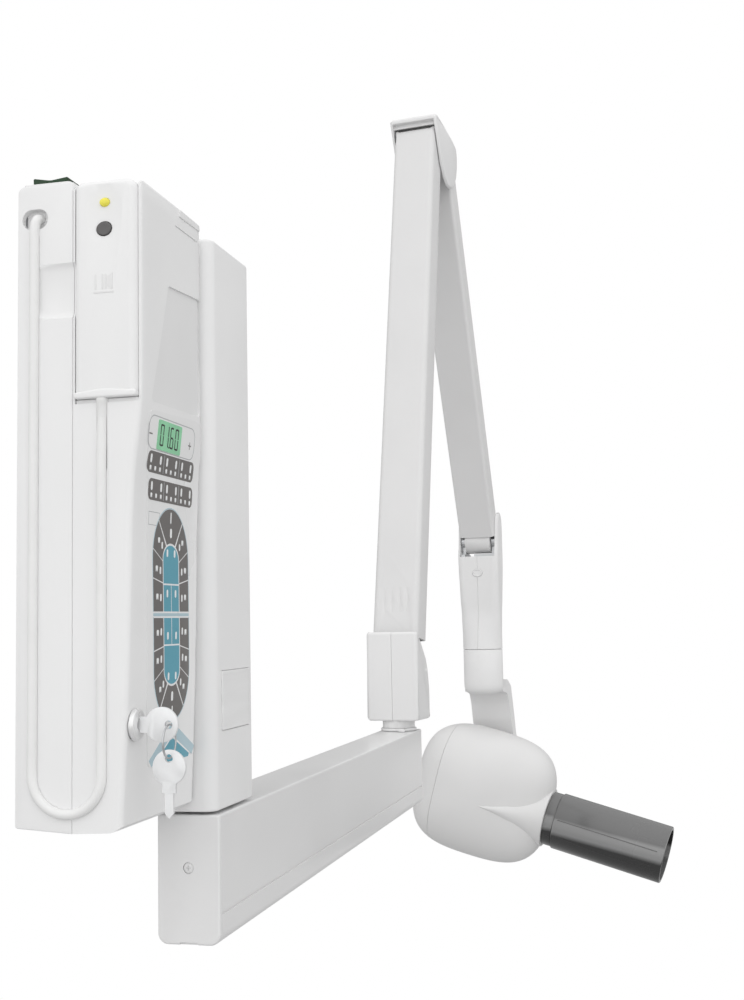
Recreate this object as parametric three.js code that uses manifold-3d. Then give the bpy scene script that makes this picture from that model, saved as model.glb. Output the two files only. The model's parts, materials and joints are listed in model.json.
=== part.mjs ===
// Wall-hung intraoral x-ray unit: control unit, power box, extension arm, scissor arm and tube head.
// Millimetres. The wall is the plane Y = 0, the room lies towards -Y and +Z is up. Inside the group `unit`
// X = 0 is the control unit's left side and Z = 0 its lower edge; the exported origin is the middle of the
// wall plate.
import * as THREE from 'three';
import { mergeVertices } from 'three/addons/utils/BufferGeometryUtils.js';
import Module from 'manifold-3d';

const wasm = await Module();
wasm.setup();

// ---------- driving dimensions ----------
const GAP = 0.3;                 // running gap between neighbours
const WALL = 2.6;                // moulded cover wall
// control unit on the wall
const CONTROL_W = 108;           // along the wall
const CONTROL_TOP = 381.5;
const SEAM_Y = -37;              // rear shell meets front cover
// power box beside it
const BOX_X0 = 110.3, BOX_X1 = 188, BOX_Y = -83, BOX_Z0 = -7, BOX_Z1 = 375;
// extension arm
const SWING_X = 150, ARM_Y = -63.5;      // upright hinge under the power box
const ARM_X0 = 112, ARM_X1 = 773;        // ends of the arm, column end to the right
const ARM_W = 43, ARM_TOP = -9, ARM_BOTTOM = -92;
const COLUMN_X = 752;                    // upright axis of the scissor arm
// scissor arm, in its own plane: x forward, y across, z up, measured from the column axis
const ARM_TURN = THREE.MathUtils.degToRad(-7);
const P1 = [0, 50], P2 = [120.7, 717], P3 = [172, 705], P4 = [356, 222];
const LOWER_T = 36, LOWER_W = 53;        // lower arm section
const UPPER_T = 30, UPPER_W = 53;        // upper arm section
const PIN_R = 6, ROD_SIDE = [8, 11];      // pivot pins, and where the levelling rods run across the arm
// tube head
const HEAD_Z = -123, HEAD_Y = 3;         // tilt axis below the wrist
const BEAM_TILT = THREE.MathUtils.degToRad(15.4);
const HEAD = [72, 95, 86];               // half width, half length, half height
const BEAM_DROP = -7;                    // beam axis below the tilt axis
const CONE_R = 37.3, CONE_START = 107.5, CONE_END = 255;
const PLATE = [6, 2, 184, 368];          // wall plate: x and z of two opposite corners

// ---------- helpers ----------
const V2 = (p) => new THREE.Vector2(p[0], p[1]);
function flat(points, holes = []) {
  const s = new THREE.Shape(points.map(V2));
  for (const h of holes) s.holes.push(new THREE.Path(h.map(V2)));
  return s;
}
function rect(x0, y0, x1, y1, r = 0, n = 3) {
  if (r <= 0) return [[x0, y0], [x1, y0], [x1, y1], [x0, y1]];
  const out = [];
  const corners = [[x1 - r, y0 + r, -90], [x1 - r, y1 - r, 0], [x0 + r, y1 - r, 90], [x0 + r, y0 + r, 180]];
  for (const [cx, cy, a0] of corners) {
    for (let i = 0; i <= n; i++) {
      const a = THREE.MathUtils.degToRad(a0 + (90 * i) / n);
      out.push([cx + r * Math.cos(a), cy + r * Math.sin(a)]);
    }
  }
  return out;
}
function circle(cx, cy, r, n = 24) {
  return Array.from({ length: n }, (_, i) => {
    const a = (2 * Math.PI * i) / n;
    return [cx + r * Math.cos(a), cy + r * Math.sin(a)];
  });
}
const extrude = (shape, depth) => new THREE.ExtrudeGeometry(shape, { depth, bevelEnabled: false });
// a plan (x, y) raised from z0 to z1
function alongZ(points, z0, z1, holes = []) {
  return extrude(flat(points, holes), z1 - z0).translate(0, 0, z0);
}
// a side view (y, z) carried from x0 to x1
function alongX(points, x0, x1, holes = []) {
  const g = extrude(flat(points, holes), x1 - x0);
  g.applyMatrix4(new THREE.Matrix4().makeBasis(
    new THREE.Vector3(0, 1, 0), new THREE.Vector3(0, 0, 1), new THREE.Vector3(1, 0, 0)));
  return g.translate(x0, 0, 0);
}
// a front view (x, z) carried from y0 to y1, y0 < y1
function alongY(points, y0, y1, holes = []) {
  const g = extrude(flat(points, holes), y1 - y0);
  g.applyMatrix4(new THREE.Matrix4().makeBasis(
    new THREE.Vector3(1, 0, 0), new THREE.Vector3(0, 0, 1), new THREE.Vector3(0, -1, 0)));
  return g.translate(0, y1, 0);
}
function box(x0, y0, z0, x1, y1, z1) {
  return new THREE.BoxGeometry(x1 - x0, y1 - y0, z1 - z0)
    .translate((x0 + x1) / 2, (y0 + y1) / 2, (z0 + z1) / 2);
}
function rod(axis, r, from, to, at, n = 24) {
  const g = new THREE.CylinderGeometry(r, r, to - from, n);
  const mid = (from + to) / 2;
  if (axis === 'x') return g.rotateZ(-Math.PI / 2).translate(mid, at[0], at[1]);
  if (axis === 'y') return g.translate(at[0], mid, at[1]);
  return g.rotateX(Math.PI / 2).translate(at[0], at[1], mid);
}
// pivot pin of length 2h across the arm, waisted where the levelling rod swings past it
function pin(h, [x, z]) {
  const [a, b] = [ROD_SIDE[0] - 1.2, ROD_SIDE[1] + 1.2];
  return turned([[0, -h], [PIN_R, -h], [PIN_R, a], [2.4, a], [2.4, b], [PIN_R, b], [PIN_R, h], [0, h]], 20)
    .rotateX(-Math.PI / 2).translate(x, 0, z);
}
// profile of [radius, height] turned about the Z axis
function turned(profile, n = 28) {
  return new THREE.LatheGeometry(profile.map(V2), n).rotateX(Math.PI / 2);
}
function tube(points, r, steps, sides = 10) {
  const path = new THREE.CatmullRomCurve3(points.map((p) => new THREE.Vector3(...p)), false, 'centripetal');
  return new THREE.ExtrudeGeometry(flat(circle(0, 0, r, sides)), { steps, extrudePath: path, bevelEnabled: false });
}
function solid(geometry) {
  const g = geometry.clone();
  g.deleteAttribute('normal');
  g.deleteAttribute('uv');
  const m = mergeVertices(g, 1e-4);
  return new wasm.Manifold(new wasm.Mesh({
    numProp: 3,
    vertProperties: new Float32Array(m.attributes.position.array),
    triVerts: new Uint32Array(m.index.array),
  }));
}
function surface(manifold) {
  const mesh = manifold.getMesh();
  const g = new THREE.BufferGeometry();
  g.setAttribute('position', new THREE.BufferAttribute(new Float32Array(mesh.vertProperties), 3));
  g.setIndex(new THREE.BufferAttribute(new Uint32Array(mesh.triVerts), 1));
  const out = g.toNonIndexed();
  out.computeVertexNormals();
  return out;
}
const cut = (a, ...tools) => surface(tools.reduce((m, t) => m.subtract(solid(t)), solid(a)));
const join = (a, ...more) => surface(more.reduce((m, t) => m.add(solid(t)), solid(a)));
const common = (a, b) => surface(solid(a).intersect(solid(b)));

const FINISH = {
  shell: { color: 0xeceded, roughness: 0.42, metalness: 0 },
  shellGrey: { color: 0xdfe1e2, roughness: 0.45, metalness: 0 },
  steel: { color: 0xb4b7ba, roughness: 0.35, metalness: 0.9 },
  alu: { color: 0xe4e6e7, roughness: 0.4, metalness: 0.2 },
  cone: { color: 0x4a4d50, roughness: 0.25, metalness: 0 },
  rubber: { color: 0xe9e9e7, roughness: 0.7, metalness: 0 },
  label: { color: 0xdedede, roughness: 0.4, metalness: 0 },
  lcd: { color: 0x63b77c, roughness: 0.2, metalness: 0 },
  button: { color: 0x5f6062, roughness: 0.6, metalness: 0 },
  green: { color: 0x0b5a1b, roughness: 0.3, metalness: 0 },
  yellow: { color: 0xece24a, roughness: 0.2, metalness: 0 },
  board: { color: 0x1f6b3a, roughness: 0.6, metalness: 0 },
  copper: { color: 0xb5713a, roughness: 0.4, metalness: 0.8 },
  lead: { color: 0x6e7378, roughness: 0.6, metalness: 0.6 },
  glass: { color: 0xcfe3ea, roughness: 0.08, metalness: 0 },
};
function add(parent, name, geometry, finish) {
  const mesh = new THREE.Mesh(geometry, new THREE.MeshStandardMaterial(FINISH[finish]));
  mesh.name = name;
  parent.add(mesh);
  return mesh;
}
function place(parent, x, y, z) {
  const g = new THREE.Group();
  g.position.set(x, y, z);
  parent.add(g);
  return g;
}

const group = new THREE.Group();
const unit = place(group, -(PLATE[0] + PLATE[2]) / 2, 0, -(PLATE[1] + PLATE[3]) / 2);

// ---------- wall plate and hinge ----------
// Steel plate screwed to the wall; the power box, the control unit and the hinge all hang on it.
const plateHoles = [[24, 40], [168, 90], [24, 340], [168, 340]].map(([x, z]) => circle(x, z, 3.6, 16));
add(unit, 'wall_plate', alongY(rect(...PLATE, 6), -4, 0, plateHoles), 'steel');
add(unit, 'hinge_block', cut(
  join(box(128, -79.9, -3.8, 172, -4.3, 44), box(121, -12, -3.8, 179, -4.3, 70)),
  rod('z', 13.4, -5, 60, [SWING_X, ARM_Y], 28)), 'steel');

// ---------- power box ----------
const boxPlan = (inset) => {
  const [x0, x1, y] = [BOX_X0 + inset, BOX_X1 - inset, BOX_Y + inset], rl = 9 - inset, rr = 5 - inset;
  const arc = (cx, cy, r, a0) => [0, 30, 60, 90].map((a) => {
    const t = THREE.MathUtils.degToRad(a0 + a);
    return [cx + r * Math.cos(t), cy + r * Math.sin(t)];
  });
  return [[x0, -GAP], ...arc(x0 + rl, y + rl, rl, 180), ...arc(x1 - rr, y + rr, rr, 270), [x1, -GAP]];
};
add(unit, 'power_cover', cut(
  alongZ(boxPlan(0), BOX_Z0, BOX_Z1),
  alongZ(boxPlan(WALL).map(([x, y]) => [x, y > -1 ? 1 : y]), BOX_Z0 + WALL, BOX_Z1 - WALL),
  box(105, -4.5, 1, 115, 1, 369),
  rod('z', 17, -10, 0, [SWING_X, ARM_Y]),
  alongY(rect(124, 44, 180, 84, 1.5), -84, -82)), 'shell');
add(unit, 'badge_plate', alongY(rect(124.5, 44.5, 179.5, 83.5, 1.2), -83.6, -82.3), 'alu');
add(unit, 'mains_transformer', cut(box(126, -64, 215, 174, -20.4, 275),
  box(124, -56, 225, 176, -50, 265)), 'copper');

// ---------- control unit ----------
const LOCK_Z = 57.5;
const rearOutline = [[-0.4, 1], [-1.6, -1.5], [SEAM_Y + 0.15, -4], [SEAM_Y + 0.15, CONTROL_TOP],
  [-4, CONTROL_TOP], [-1.2, CONTROL_TOP - 1.5], [-0.4, CONTROL_TOP - 4.5]];
const CABLE_R = 3, CABLE_Y1 = -12, CABLE_Y2 = -55.7, CABLE_BEND = 29;
const bendR = (CABLE_Y1 - CABLE_Y2) / 2, bendY = (CABLE_Y1 + CABLE_Y2) / 2;
const groove = (() => {
  const arcPoints = (r) => Array.from({ length: 13 }, (_, i) => {
    const a = Math.PI * (1 + i / 12);
    return [bendY + r * Math.cos(a), CABLE_BEND + r * Math.sin(a)];
  });
  const o = arcPoints(bendR + 3.8), i = arcPoints(bendR - 3.8).reverse();
  return [[CABLE_Y2 - 3.8, 246], ...o, [CABLE_Y1 + 3.8, 358], [CABLE_Y1 - 3.8, 358], ...i,
    [CABLE_Y2 + 3.8, 246]];
})();
add(unit, 'control_rear_shell', cut(
  alongX(rearOutline, 0, CONTROL_W),
  box(WALL, -40, 0, CONTROL_W - WALL, -7, CONTROL_TOP - WALL),
  box(4, -4.6, 0, 110, 1, 370),
  alongX(rect(-36, 299.5, -10.5, 331, 8), -1, 2),
  alongX(groove, -1, 2.3),
  alongX(rect(-20, 354.5, -4, 366.5, 5.9), -1, 4),
  box(5, -31.5, 370, 24, -5, 390)), 'shell');
// side view of the front cover: deepest beside the display, shallower towards the floor
const FACE = [[-67.8, 1], [-68.6, 16], [-70, 47], [-72, 98], [-74, 175], [-75.6, 204], [-78.4, 228], [-80.3, 250],
  [-80.6, 280], [-80.6, 372]];
const coverSide = [[SEAM_Y - 0.15, -4], [-64, -2.5], ...FACE, [-79, 378], [-76, CONTROL_TOP],
  [SEAM_Y - 0.15, CONTROL_TOP]];
const coverPlan = [[0, SEAM_Y - 0.15], [0, -77.6], [1.1, -79.9], [3.4, -81], [91, -81], [97, -79.2],
  [102, -76.4], [106, -72.4],
  [CONTROL_W, -68], [CONTROL_W, SEAM_Y - 0.15]];
add(unit, 'control_front_cover', cut(
  common(alongZ(coverPlan, -6, 384), alongX(coverSide, -1, 110)),
  box(31, -70, 60, CONTROL_W - WALL, -30, CONTROL_TOP - WALL),
  box(WALL + 1, -64, 3, CONTROL_W - WALL, -30, 240),
  box(-1, -78.2, 246, 28, -38.3, 390),
  alongX(groove, -1, 2.3),
  box(-1, CABLE_Y2 - 4.4, 205, 6, CABLE_Y2 + 4.4, 247),
  rod('y', 8.3, -76, -60, [11, LOCK_Z], 20)), 'shell');
// thin sheet lying on the control face, from proud0 to proud1 in front of it
const sheet = (x0, x1, proud0, proud1) => alongX([
  ...FACE.map(([y, z]) => [y - proud0, z]), ...FACE.map(([y, z]) => [y - proud1, z]).reverse()], x0, x1);
add(unit, 'keypad_membrane', common(sheet(5, 100, 0.3, 0.9), alongY(
  [[14, 243], [21, 189], [25, 106], [27, 71], [32, 30], [84, 24], [90, 30], [90, 236], [85, 246], [18, 246]],
  -90, -60)), 'label');
add(unit, 'display_window', common(sheet(5, 100, 1.2, 1.7),
  alongY(rect(28, 220.8, 64.5, 238.9, 1), -90, -60)), 'lcd');
add(unit, 'control_board', box(40, -60, 64, 98, -58.4, 350), 'board');
// lock and mains switch
add(unit, 'lock_barrel', turned([[0, 0], [8, 0], [8, 10], [9.2, 10], [9.2, 13], [3.2, 13], [3.2, 1.5], [0, 1.5]], 24)
  .rotateX(Math.PI / 2).translate(11, -61.2, LOCK_Z), 'steel');
add(unit, 'switch_bezel', alongZ(rect(2.5, -34, 26.5, -2.5, 2), CONTROL_TOP + GAP, CONTROL_TOP + 2,
  [rect(5.5, -31, 23.5, -5.5, 1).reverse()]), 'shellGrey');
const rocker = [[-7.2, 388.6], [-18.6, 386.4], [-30.4, 387.8], [-29.6, 376], [-18.3, 373], [-7.8, 376]];
add(unit, 'mains_rocker', alongX(rocker, 6.2, 22.8), 'green');

// round cable from the slot down the left side, round a bend and up to the handset
const bendPoints = Array.from({ length: 9 }, (_, i) => {
  const a = Math.PI * (2 - i / 8);
  return [-0.9, bendY + bendR * Math.cos(a), CABLE_BEND + bendR * Math.sin(a)];
});
add(unit, 'handset_cable', tube([[9, -13, 361], [3, -12.4, 361.2], [-0.6, -12, 357.5], [-0.9, CABLE_Y1, 340],
  [-0.9, CABLE_Y1, 200], ...bendPoints, [-0.9, CABLE_Y2, 120], [-0.9, CABLE_Y2, 190], [-0.3, CABLE_Y2, 215],
  [1.2, CABLE_Y2, 236.6]], CABLE_R, 64, 8), 'rubber');

// ---------- key, ring and spare key ----------
const KEY_X = 11, KEY_Z = LOCK_Z, BOW_Y = -88;
const bow = (cy, cz, r, holeY, holeZ, holeR) => alongX(circle(cy, cz, r, 28), KEY_X - 1.1, KEY_X + 1.1,
  [circle(holeY, holeZ, holeR, 14).reverse()]);
add(unit, 'lock_key', join(bow(BOW_Y, KEY_Z, 10.2, BOW_Y - 4.6, KEY_Z, 2.4),
  box(KEY_X - 1.1, -80, KEY_Z - 5, KEY_X + 1.1, -74.6, KEY_Z + 5),
  box(KEY_X - 1, -76.5, KEY_Z - 2.7, KEY_X + 1, -65, KEY_Z + 2.7)), 'alu');
const RING_R = 9.6;
add(unit, 'key_ring', new THREE.TorusGeometry(RING_R, 0.65, 8, 28).rotateX(Math.PI / 2)
  .translate(KEY_X, BOW_Y - 4.6, KEY_Z - RING_R), 'steel');
const SPARE_Z = KEY_Z - 2 * RING_R - 5.2;
add(unit, 'spare_key', join(
  bow(BOW_Y - 4.6, SPARE_Z, 10.2, BOW_Y - 4.6, SPARE_Z + 5.2, 2.4),
  box(KEY_X - 1.1, BOW_Y - 8.7, SPARE_Z - 14.5, KEY_X + 1.1, BOW_Y - 0.5, SPARE_Z - 8),
  box(KEY_X - 1, BOW_Y - 7.2, SPARE_Z - 29, KEY_X + 1, BOW_Y - 2, SPARE_Z - 14)), 'alu');

// ---------- handset resting in the side of the control unit ----------
const HS_X0 = -2.5, HS_SPLIT = 11, HS_X1 = 26;
const handsetOutline = [[-38.6, 380.5], [-74, 380.5], [-77.6, 376], [-77.6, 250.8], [-75.6, 248.8],
  [-40.6, 248.8], [-38.6, 250.8]];
const handsetHollow = (x0, x1) => box(x0, -74, 253, x1, -42, 377);
add(unit, 'handset_front', cut(alongX(handsetOutline, HS_X0, HS_SPLIT),
  handsetHollow(0.5, HS_SPLIT + 1),
  rod('x', 5.4, -5, 5, [-58.1, 350.2], 20),
  rod('x', 3.4, -5, 5, [-58.3, 366.4], 16)), 'shell');
add(unit, 'handset_back', cut(alongX(handsetOutline, HS_SPLIT + GAP, HS_X1),
  handsetHollow(HS_SPLIT - 1, HS_X1 - WALL)), 'shell');
add(unit, 'handset_lamp', rod('x', 3.1, HS_X0 - 0.8, 3, [-58.3, 366.4], 16), 'yellow');
add(unit, 'exposure_button', rod('x', 5, HS_X0 - 0.4, 4.6, [-58.1, 350.2], 20), 'button');
add(unit, 'strain_relief', turned([[0, 0], [3.2, 0], [3.8, 11.4], [0, 11.4]], 16)
  .translate(1.4, CABLE_Y2, 237.1), 'rubber');

// ---------- extension arm ----------
const armY0 = ARM_Y - ARM_W / 2, armY1 = ARM_Y + ARM_W / 2;
const armSection = [...rect(armY0, ARM_BOTTOM, armY1, ARM_TOP, 7).slice(0, 4),
  [armY1, ARM_TOP - 1.5], [armY1 - 1.5, ARM_TOP], [armY0 + 1.5, ARM_TOP], [armY0, ARM_TOP - 1.5],
  ...rect(armY0, ARM_BOTTOM, armY1, ARM_TOP, 7).slice(12)];
const armInner = rect(armY0 + 3, ARM_BOTTOM + 3, armY1 - 3, ARM_TOP - 3, 4, 2);
const sideGroove = (y) => box(ARM_X0 - 5, y - 0.9, -73, ARM_X1 + 5, y + 0.9, -71.4);
add(unit, 'arm_extrusion', cut(
  alongX(armSection, ARM_X0 + 4, ARM_X1 - 4, [armInner.slice().reverse()]),
  sideGroove(armY0), sideGroove(armY1),
  rod('z', 13.3, ARM_TOP - 5, 0, [SWING_X, ARM_Y]),
  rod('z', 13.3, ARM_TOP - 5, 0, [COLUMN_X, ARM_Y])), 'shell');
add(unit, 'arm_end_cap', cut(
  alongX(armSection, ARM_X0, ARM_X0 + 4 - GAP),
  rod('x', 4.6, ARM_X0 - 1, ARM_X0 + 2.6, [ARM_Y, -43], 20),
  box(ARM_X0 - 1, ARM_Y - 6.5, ARM_BOTTOM - 1, ARM_X0 + 2.4, ARM_Y + 6.5, ARM_BOTTOM + 1.4)), 'shell');
add(unit, 'arm_far_cap', alongX(armSection, ARM_X1 - 4 + GAP, ARM_X1), 'shell');
add(unit, 'cap_screw', cut(
  rod('x', 4.2, ARM_X0 + 0.7, ARM_X0 + 2.3, [ARM_Y, -43], 20),
  box(ARM_X0, ARM_Y - 0.5, -45.6, ARM_X0 + 1.7, ARM_Y + 0.5, -40.4),
  box(ARM_X0, ARM_Y - 2.6, -43.5, ARM_X0 + 1.7, ARM_Y + 2.6, -42.5)), 'steel');
add(unit, 'swing_spindle', turned([[0, -84], [12, -84], [12, -8.4], [13, -7], [13, 40], [0, 40]])
  .translate(SWING_X, ARM_Y, 0), 'steel');
add(unit, 'column_socket', cut(
  join(rod('z', 20, ARM_TOP + GAP, ARM_TOP + 3.5, [COLUMN_X, ARM_Y], 32),
    rod('z', 13, -86, -8, [COLUMN_X, ARM_Y], 28),
    box(COLUMN_X - 26.5, ARM_Y - 12, ARM_TOP + GAP, COLUMN_X - 14, ARM_Y - 5, ARM_TOP + 3.5)),
  rod('z', 10.3, -84, 0, [COLUMN_X, ARM_Y], 24)), 'steel');

// levelling rods run parallel to the arms, hung on studs set off square to each arm's middle position
const LOWER_ROD = [-7.55, 5.25], UPPER_ROD = [6.05, 6.93];
const rodStud = (p, off, y1) => rod('y', 1.6, ROD_SIDE[0], y1, [p[0] + off[0], p[1] + off[1]], 12);

// ---------- scissor arm: everything below turns about the column ----------
const scissor = place(unit, COLUMN_X, ARM_Y, 0);
scissor.rotation.z = ARM_TURN;
const collarSide = [[-21, 3], [24, 3], [24, 36], [20, 58], [14, 72], [-4, 92], [-21, 107.5]];
const collarHalf = (side) => {
  const [a, b] = side > 0 ? [0.15, 30.4] : [-30.4, -0.15];
  const [c, d] = side > 0 ? [-5, 27.6] : [-27.6, 5];
  return cut(alongY(collarSide, a, b),
    box(-21 + 2, c, 3 + WALL, 24 - WALL, d, 120),
    box(8, c, 36, 30, d, 120),
    rod('z', 19.2, 0, 8, [0, 0], 28));
};
add(scissor, 'collar_left', collarHalf(1), 'shell');
add(scissor, 'collar_right', collarHalf(-1), 'shell');
add(scissor, 'column_yoke', cut(
  join(turned([[0, -82], [10, -82], [10, -5.2], [18.2, -5.2], [18.2, 13], [0, 13]]),
    box(-17, -26, 12, 19, 26, 20), box(-13, 20, 19, 13, 26, 64), box(-13, -26, 19, 13, -20, 64),
    rodStud(P1, LOWER_ROD, 21)),
  rod('y', PIN_R + GAP, -30, 30, P1, 20)), 'steel');
add(scissor, 'lower_pivot_pin', pin(26, P1), 'steel');

// a frame whose z runs along an arm from its pivot towards the other end
function armFrame(from, to) {
  const g = place(scissor, from[0], 0, from[1]);
  g.rotation.y = Math.atan2(to[0] - from[0], to[1] - from[1]);
  return g;
}
const span = (a, b) => Math.hypot(b[0] - a[0], b[1] - a[1]);
const L1 = span(P1, P2), L2 = span(P3, P4);
// plan of an arm tube: x through the thickness, y across
const armTube = (t, w, r, wall) => ({
  outer: rect(-t / 2, -w / 2, t / 2, w / 2, r, 3),
  inner: rect(-t / 2 + wall, -w / 2 + wall, t / 2 - wall, w / 2 - wall, Math.max(r - wall, 1), 2),
});
function taper(g, z0, z1, scale0, scale1) {
  const p = g.attributes.position;
  for (let i = 0; i < p.count; i++) {
    const k = THREE.MathUtils.lerp(scale0, scale1, (p.getZ(i) - z0) / (z1 - z0));
    p.setY(i, p.getY(i) * k);
  }
  return g;
}

const lower = armFrame(P1, P2);
const lt = armTube(LOWER_T, LOWER_W, 6, 2.4);
// rounded end about the far pivot, seen from the side
const roundEnd = (r, z, t) => alongY([[-40, z + 60], [40, z + 60], [40, z], [t / 2 + 0.5, z],
  ...Array.from({ length: 11 }, (_, i) => [r * Math.cos((Math.PI * i) / 10), z + r * Math.sin((Math.PI * i) / 10)]),
  [-t / 2 - 0.5, z], [-40, z]], -60, 60);
add(lower, 'lower_arm_tube', cut(
  taper(alongZ(lt.outer, 44, L1 + 30), 44, L1 + 30, 1.02, 0.985),
  taper(alongZ(lt.inner, 40, L1 + 15), 40, L1 + 15, 1.02, 0.985),
  roundEnd(LOWER_T / 2, L1, LOWER_T),
  rod('y', PIN_R + GAP, -40, 0, [0, L1], 20),
  rod('y', 16.6, 21, 40, [0, L1], 28)), 'shellGrey');
add(lower, 'lower_arm_foot', cut(
  join(box(-14, -17, 0, 14, 17, 90), rod('y', 14, -17, 17, [0, 0], 28)),
  rod('y', PIN_R + GAP, -20, 20, [0, 0], 20),
  box(-16, 5.5, -16, 16, 18, 92)), 'steel');
add(lower, 'lower_arm_head', cut(
  join(box(-12, -20, L1 - 70, 12, 20, L1), rod('y', 12, -20, 20, [0, L1], 28)),
  rod('y', PIN_R + GAP, -24, 24, [0, L1], 20),
  box(-16, 5.5, L1 - 76, 16, 21, L1 + 16)), 'steel');
add(lower, 'lower_arm_spring_can', turned([[0, 90.4], [9, 90.4], [11, 100], [11, L1 - 90], [5, L1 - 84],
  [5, L1 - 70.4], [0, L1 - 70.4]], 20).translate(0, -8, 0), 'steel');

function levelRod(name, from, to, off) {
  const g = place(scissor, from[0] + off[0], 0, from[1] + off[1]);
  g.rotation.y = Math.atan2(to[0] - from[0], to[1] - from[1]);
  const L = span(from, to), [a, b] = ROD_SIDE;
  add(g, name, cut(
    join(box(-1.7, a, 0, 1.7, b, L), rod('y', 3.2, a, b, [0, 0], 16), rod('y', 3.2, a, b, [0, L], 16)),
    rod('y', 1.9, 0, 20, [0, 0], 12), rod('y', 1.9, 0, 20, [0, L], 12)), 'steel');
}

// ---------- elbow ----------
const elbowSide = [[99.5, 737.6], [99.5, 748], [104, 752], [120, 751], [136, 747.5], [152, 742.5], [170, 735.5],
  [186, 727], [189.5, 716], [188.5, 700], [183, 684], [172, 671], [158, 664.5], [146, 665], [134, 672], [121, 687]];
const elbowInner = [[90, 690], [90, 737.4], [122, 737.4], [136, 735], [150, 729], [168, 723], [200, 723], [200, 650],
  [90, 650]];
// closes the front above the rounded end of the lower arm
const elbowBrow = [[105.1, 732], [108.8, 732.2], [112, 744], [107.2, 744]];
add(scissor, 'elbow_cover', cut(
  join(cut(alongY(elbowSide, -30.6, 30.6), alongY(elbowInner, -27.2, 27.2)), alongY(elbowBrow, -28, 28),
    rodStud(P2, LOWER_ROD, 28.6), rodStud(P3, UPPER_ROD, 28.6)),
  rod('y', PIN_R + GAP, -28.8, 28.8, P2, 20), rod('y', PIN_R + GAP, -28.8, 28.8, P3, 20)), 'shell');
add(scissor, 'elbow_pin_lower', pin(28.4, P2), 'steel');
add(scissor, 'elbow_pin_upper', pin(28.4, P3), 'steel');

// ---------- upper arm ----------
const upper = armFrame(P3, P4);
const ut = armTube(UPPER_T, UPPER_W, 4, 2.4);
const side = (x0, x1) => box(x0, -40, -60, x1, 40, L2);
const upperTube = () => cut(
  taper(alongZ(ut.outer, -30, L2 - 11.2), -30, L2 - 11.2, 1, 0.915),
  taper(alongZ(ut.inner, -13.2, L2 - 10), -13.2, L2 - 10, 1, 0.915),
  roundEnd(UPPER_T / 2, 0, UPPER_T).rotateY(Math.PI),
  rod('y', PIN_R + GAP, -40, 0, [0, 0], 20),
  rod('y', 13.4, 21, 40, [0, 0], 28));
add(upper, 'upper_arm_channel', cut(upperTube(), side(2.85, 40)), 'shellGrey');
add(upper, 'upper_arm_cover', cut(upperTube(), side(-40, 3.15)), 'shellGrey');
add(upper, 'upper_arm_head', cut(
  join(box(-10, -20, 0, 10, 20, 60), rod('y', 10.5, -20, 20, [0, 0], 28)),
  rod('y', PIN_R + GAP, -24, 24, [0, 0], 20),
  box(-16, 5.5, -16, 16, 21, 66)), 'steel');
add(upper, 'upper_arm_tongue', cut(
  join(box(-9.5, -17.8, L2 - 70, 11, 17.8, L2 - 10), box(-9.5, -17.8, L2 - 10.9, 13, 17.8, L2),
    rod('y', 16.5, -17.8, 17.8, [0, L2], 32)),
  rod('y', PIN_R + GAP, -20, 20, [0, L2], 20),
  box(-20, 5.5, L2 - 76, -1.2, 19, L2 + 20)), 'shellGrey');
add(upper, 'upper_arm_spring_can', turned([[0, 60.4], [5, 60.4], [5, 78], [9, 84], [9, L2 - 84], [5, L2 - 78],
  [5, L2 - 70.4], [0, L2 - 70.4]], 20).translate(0, -8, 0), 'steel');

// ---------- wrist ----------
const wristSide = [[338, 201], [338, 130], [334, 100], [329.2, 73], [382.8, 73], [378, 100], [374, 130], [374, 236],
  [372, 254], [366, 261], [357, 262], [348, 256], [344, 240], [342, 214]];
const wristBody = () => {
  const upright = common(alongY(wristSide, -28.4, 28.4), join(
    alongZ(rect(337, -28.4, 376, 28.4, 7), 128, 270),
    new THREE.CylinderGeometry(28.2, 27, 120, 32).rotateX(Math.PI / 2).translate(356, 0, 132.5)));
  return cut(upright,
    box(320, -24.6, 201, 400, 24.6, 300),
    box(341, -20.6, 92, 371, 20.6, 140),
    box(341, -24.6, 139, 371, 24.6, 202),
    rod('z', 10, 60, 100, [356, 0], 24));
};
add(scissor, 'wrist_left', cut(wristBody(), box(300, -60, 0, 420, 0.15, 300)), 'shell');
add(scissor, 'wrist_right', cut(wristBody(), box(300, -0.15, 0, 420, 60, 300)), 'shell');
add(scissor, 'wrist_core', cut(
  join(box(342, -20, 93, 370, 20, 150), box(342, -24, 140, 370, 24, 204.4),
    box(349, 18.5, 200, 366, 24, 222), box(349, -24, 200, 366, -18.5, 222),
    rod('y', 10.5, 18.5, 24, P4, 28), rod('y', 10.5, -24, -18.5, P4, 28),
    rodStud(P4, UPPER_ROD, 19)),
  rod('y', PIN_R + GAP, -30, 30, P4, 20),
  rod('z', 9.9, 80, 150, [356, 0], 24),
  box(338, 5, 190, 380, 18.2, 206)), 'steel');
add(scissor, 'wrist_pin', pin(24, P4), 'steel');

levelRod('lower_level_rod', P1, P2, LOWER_ROD);
levelRod('upper_level_rod', P3, P4, UPPER_ROD);

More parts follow.
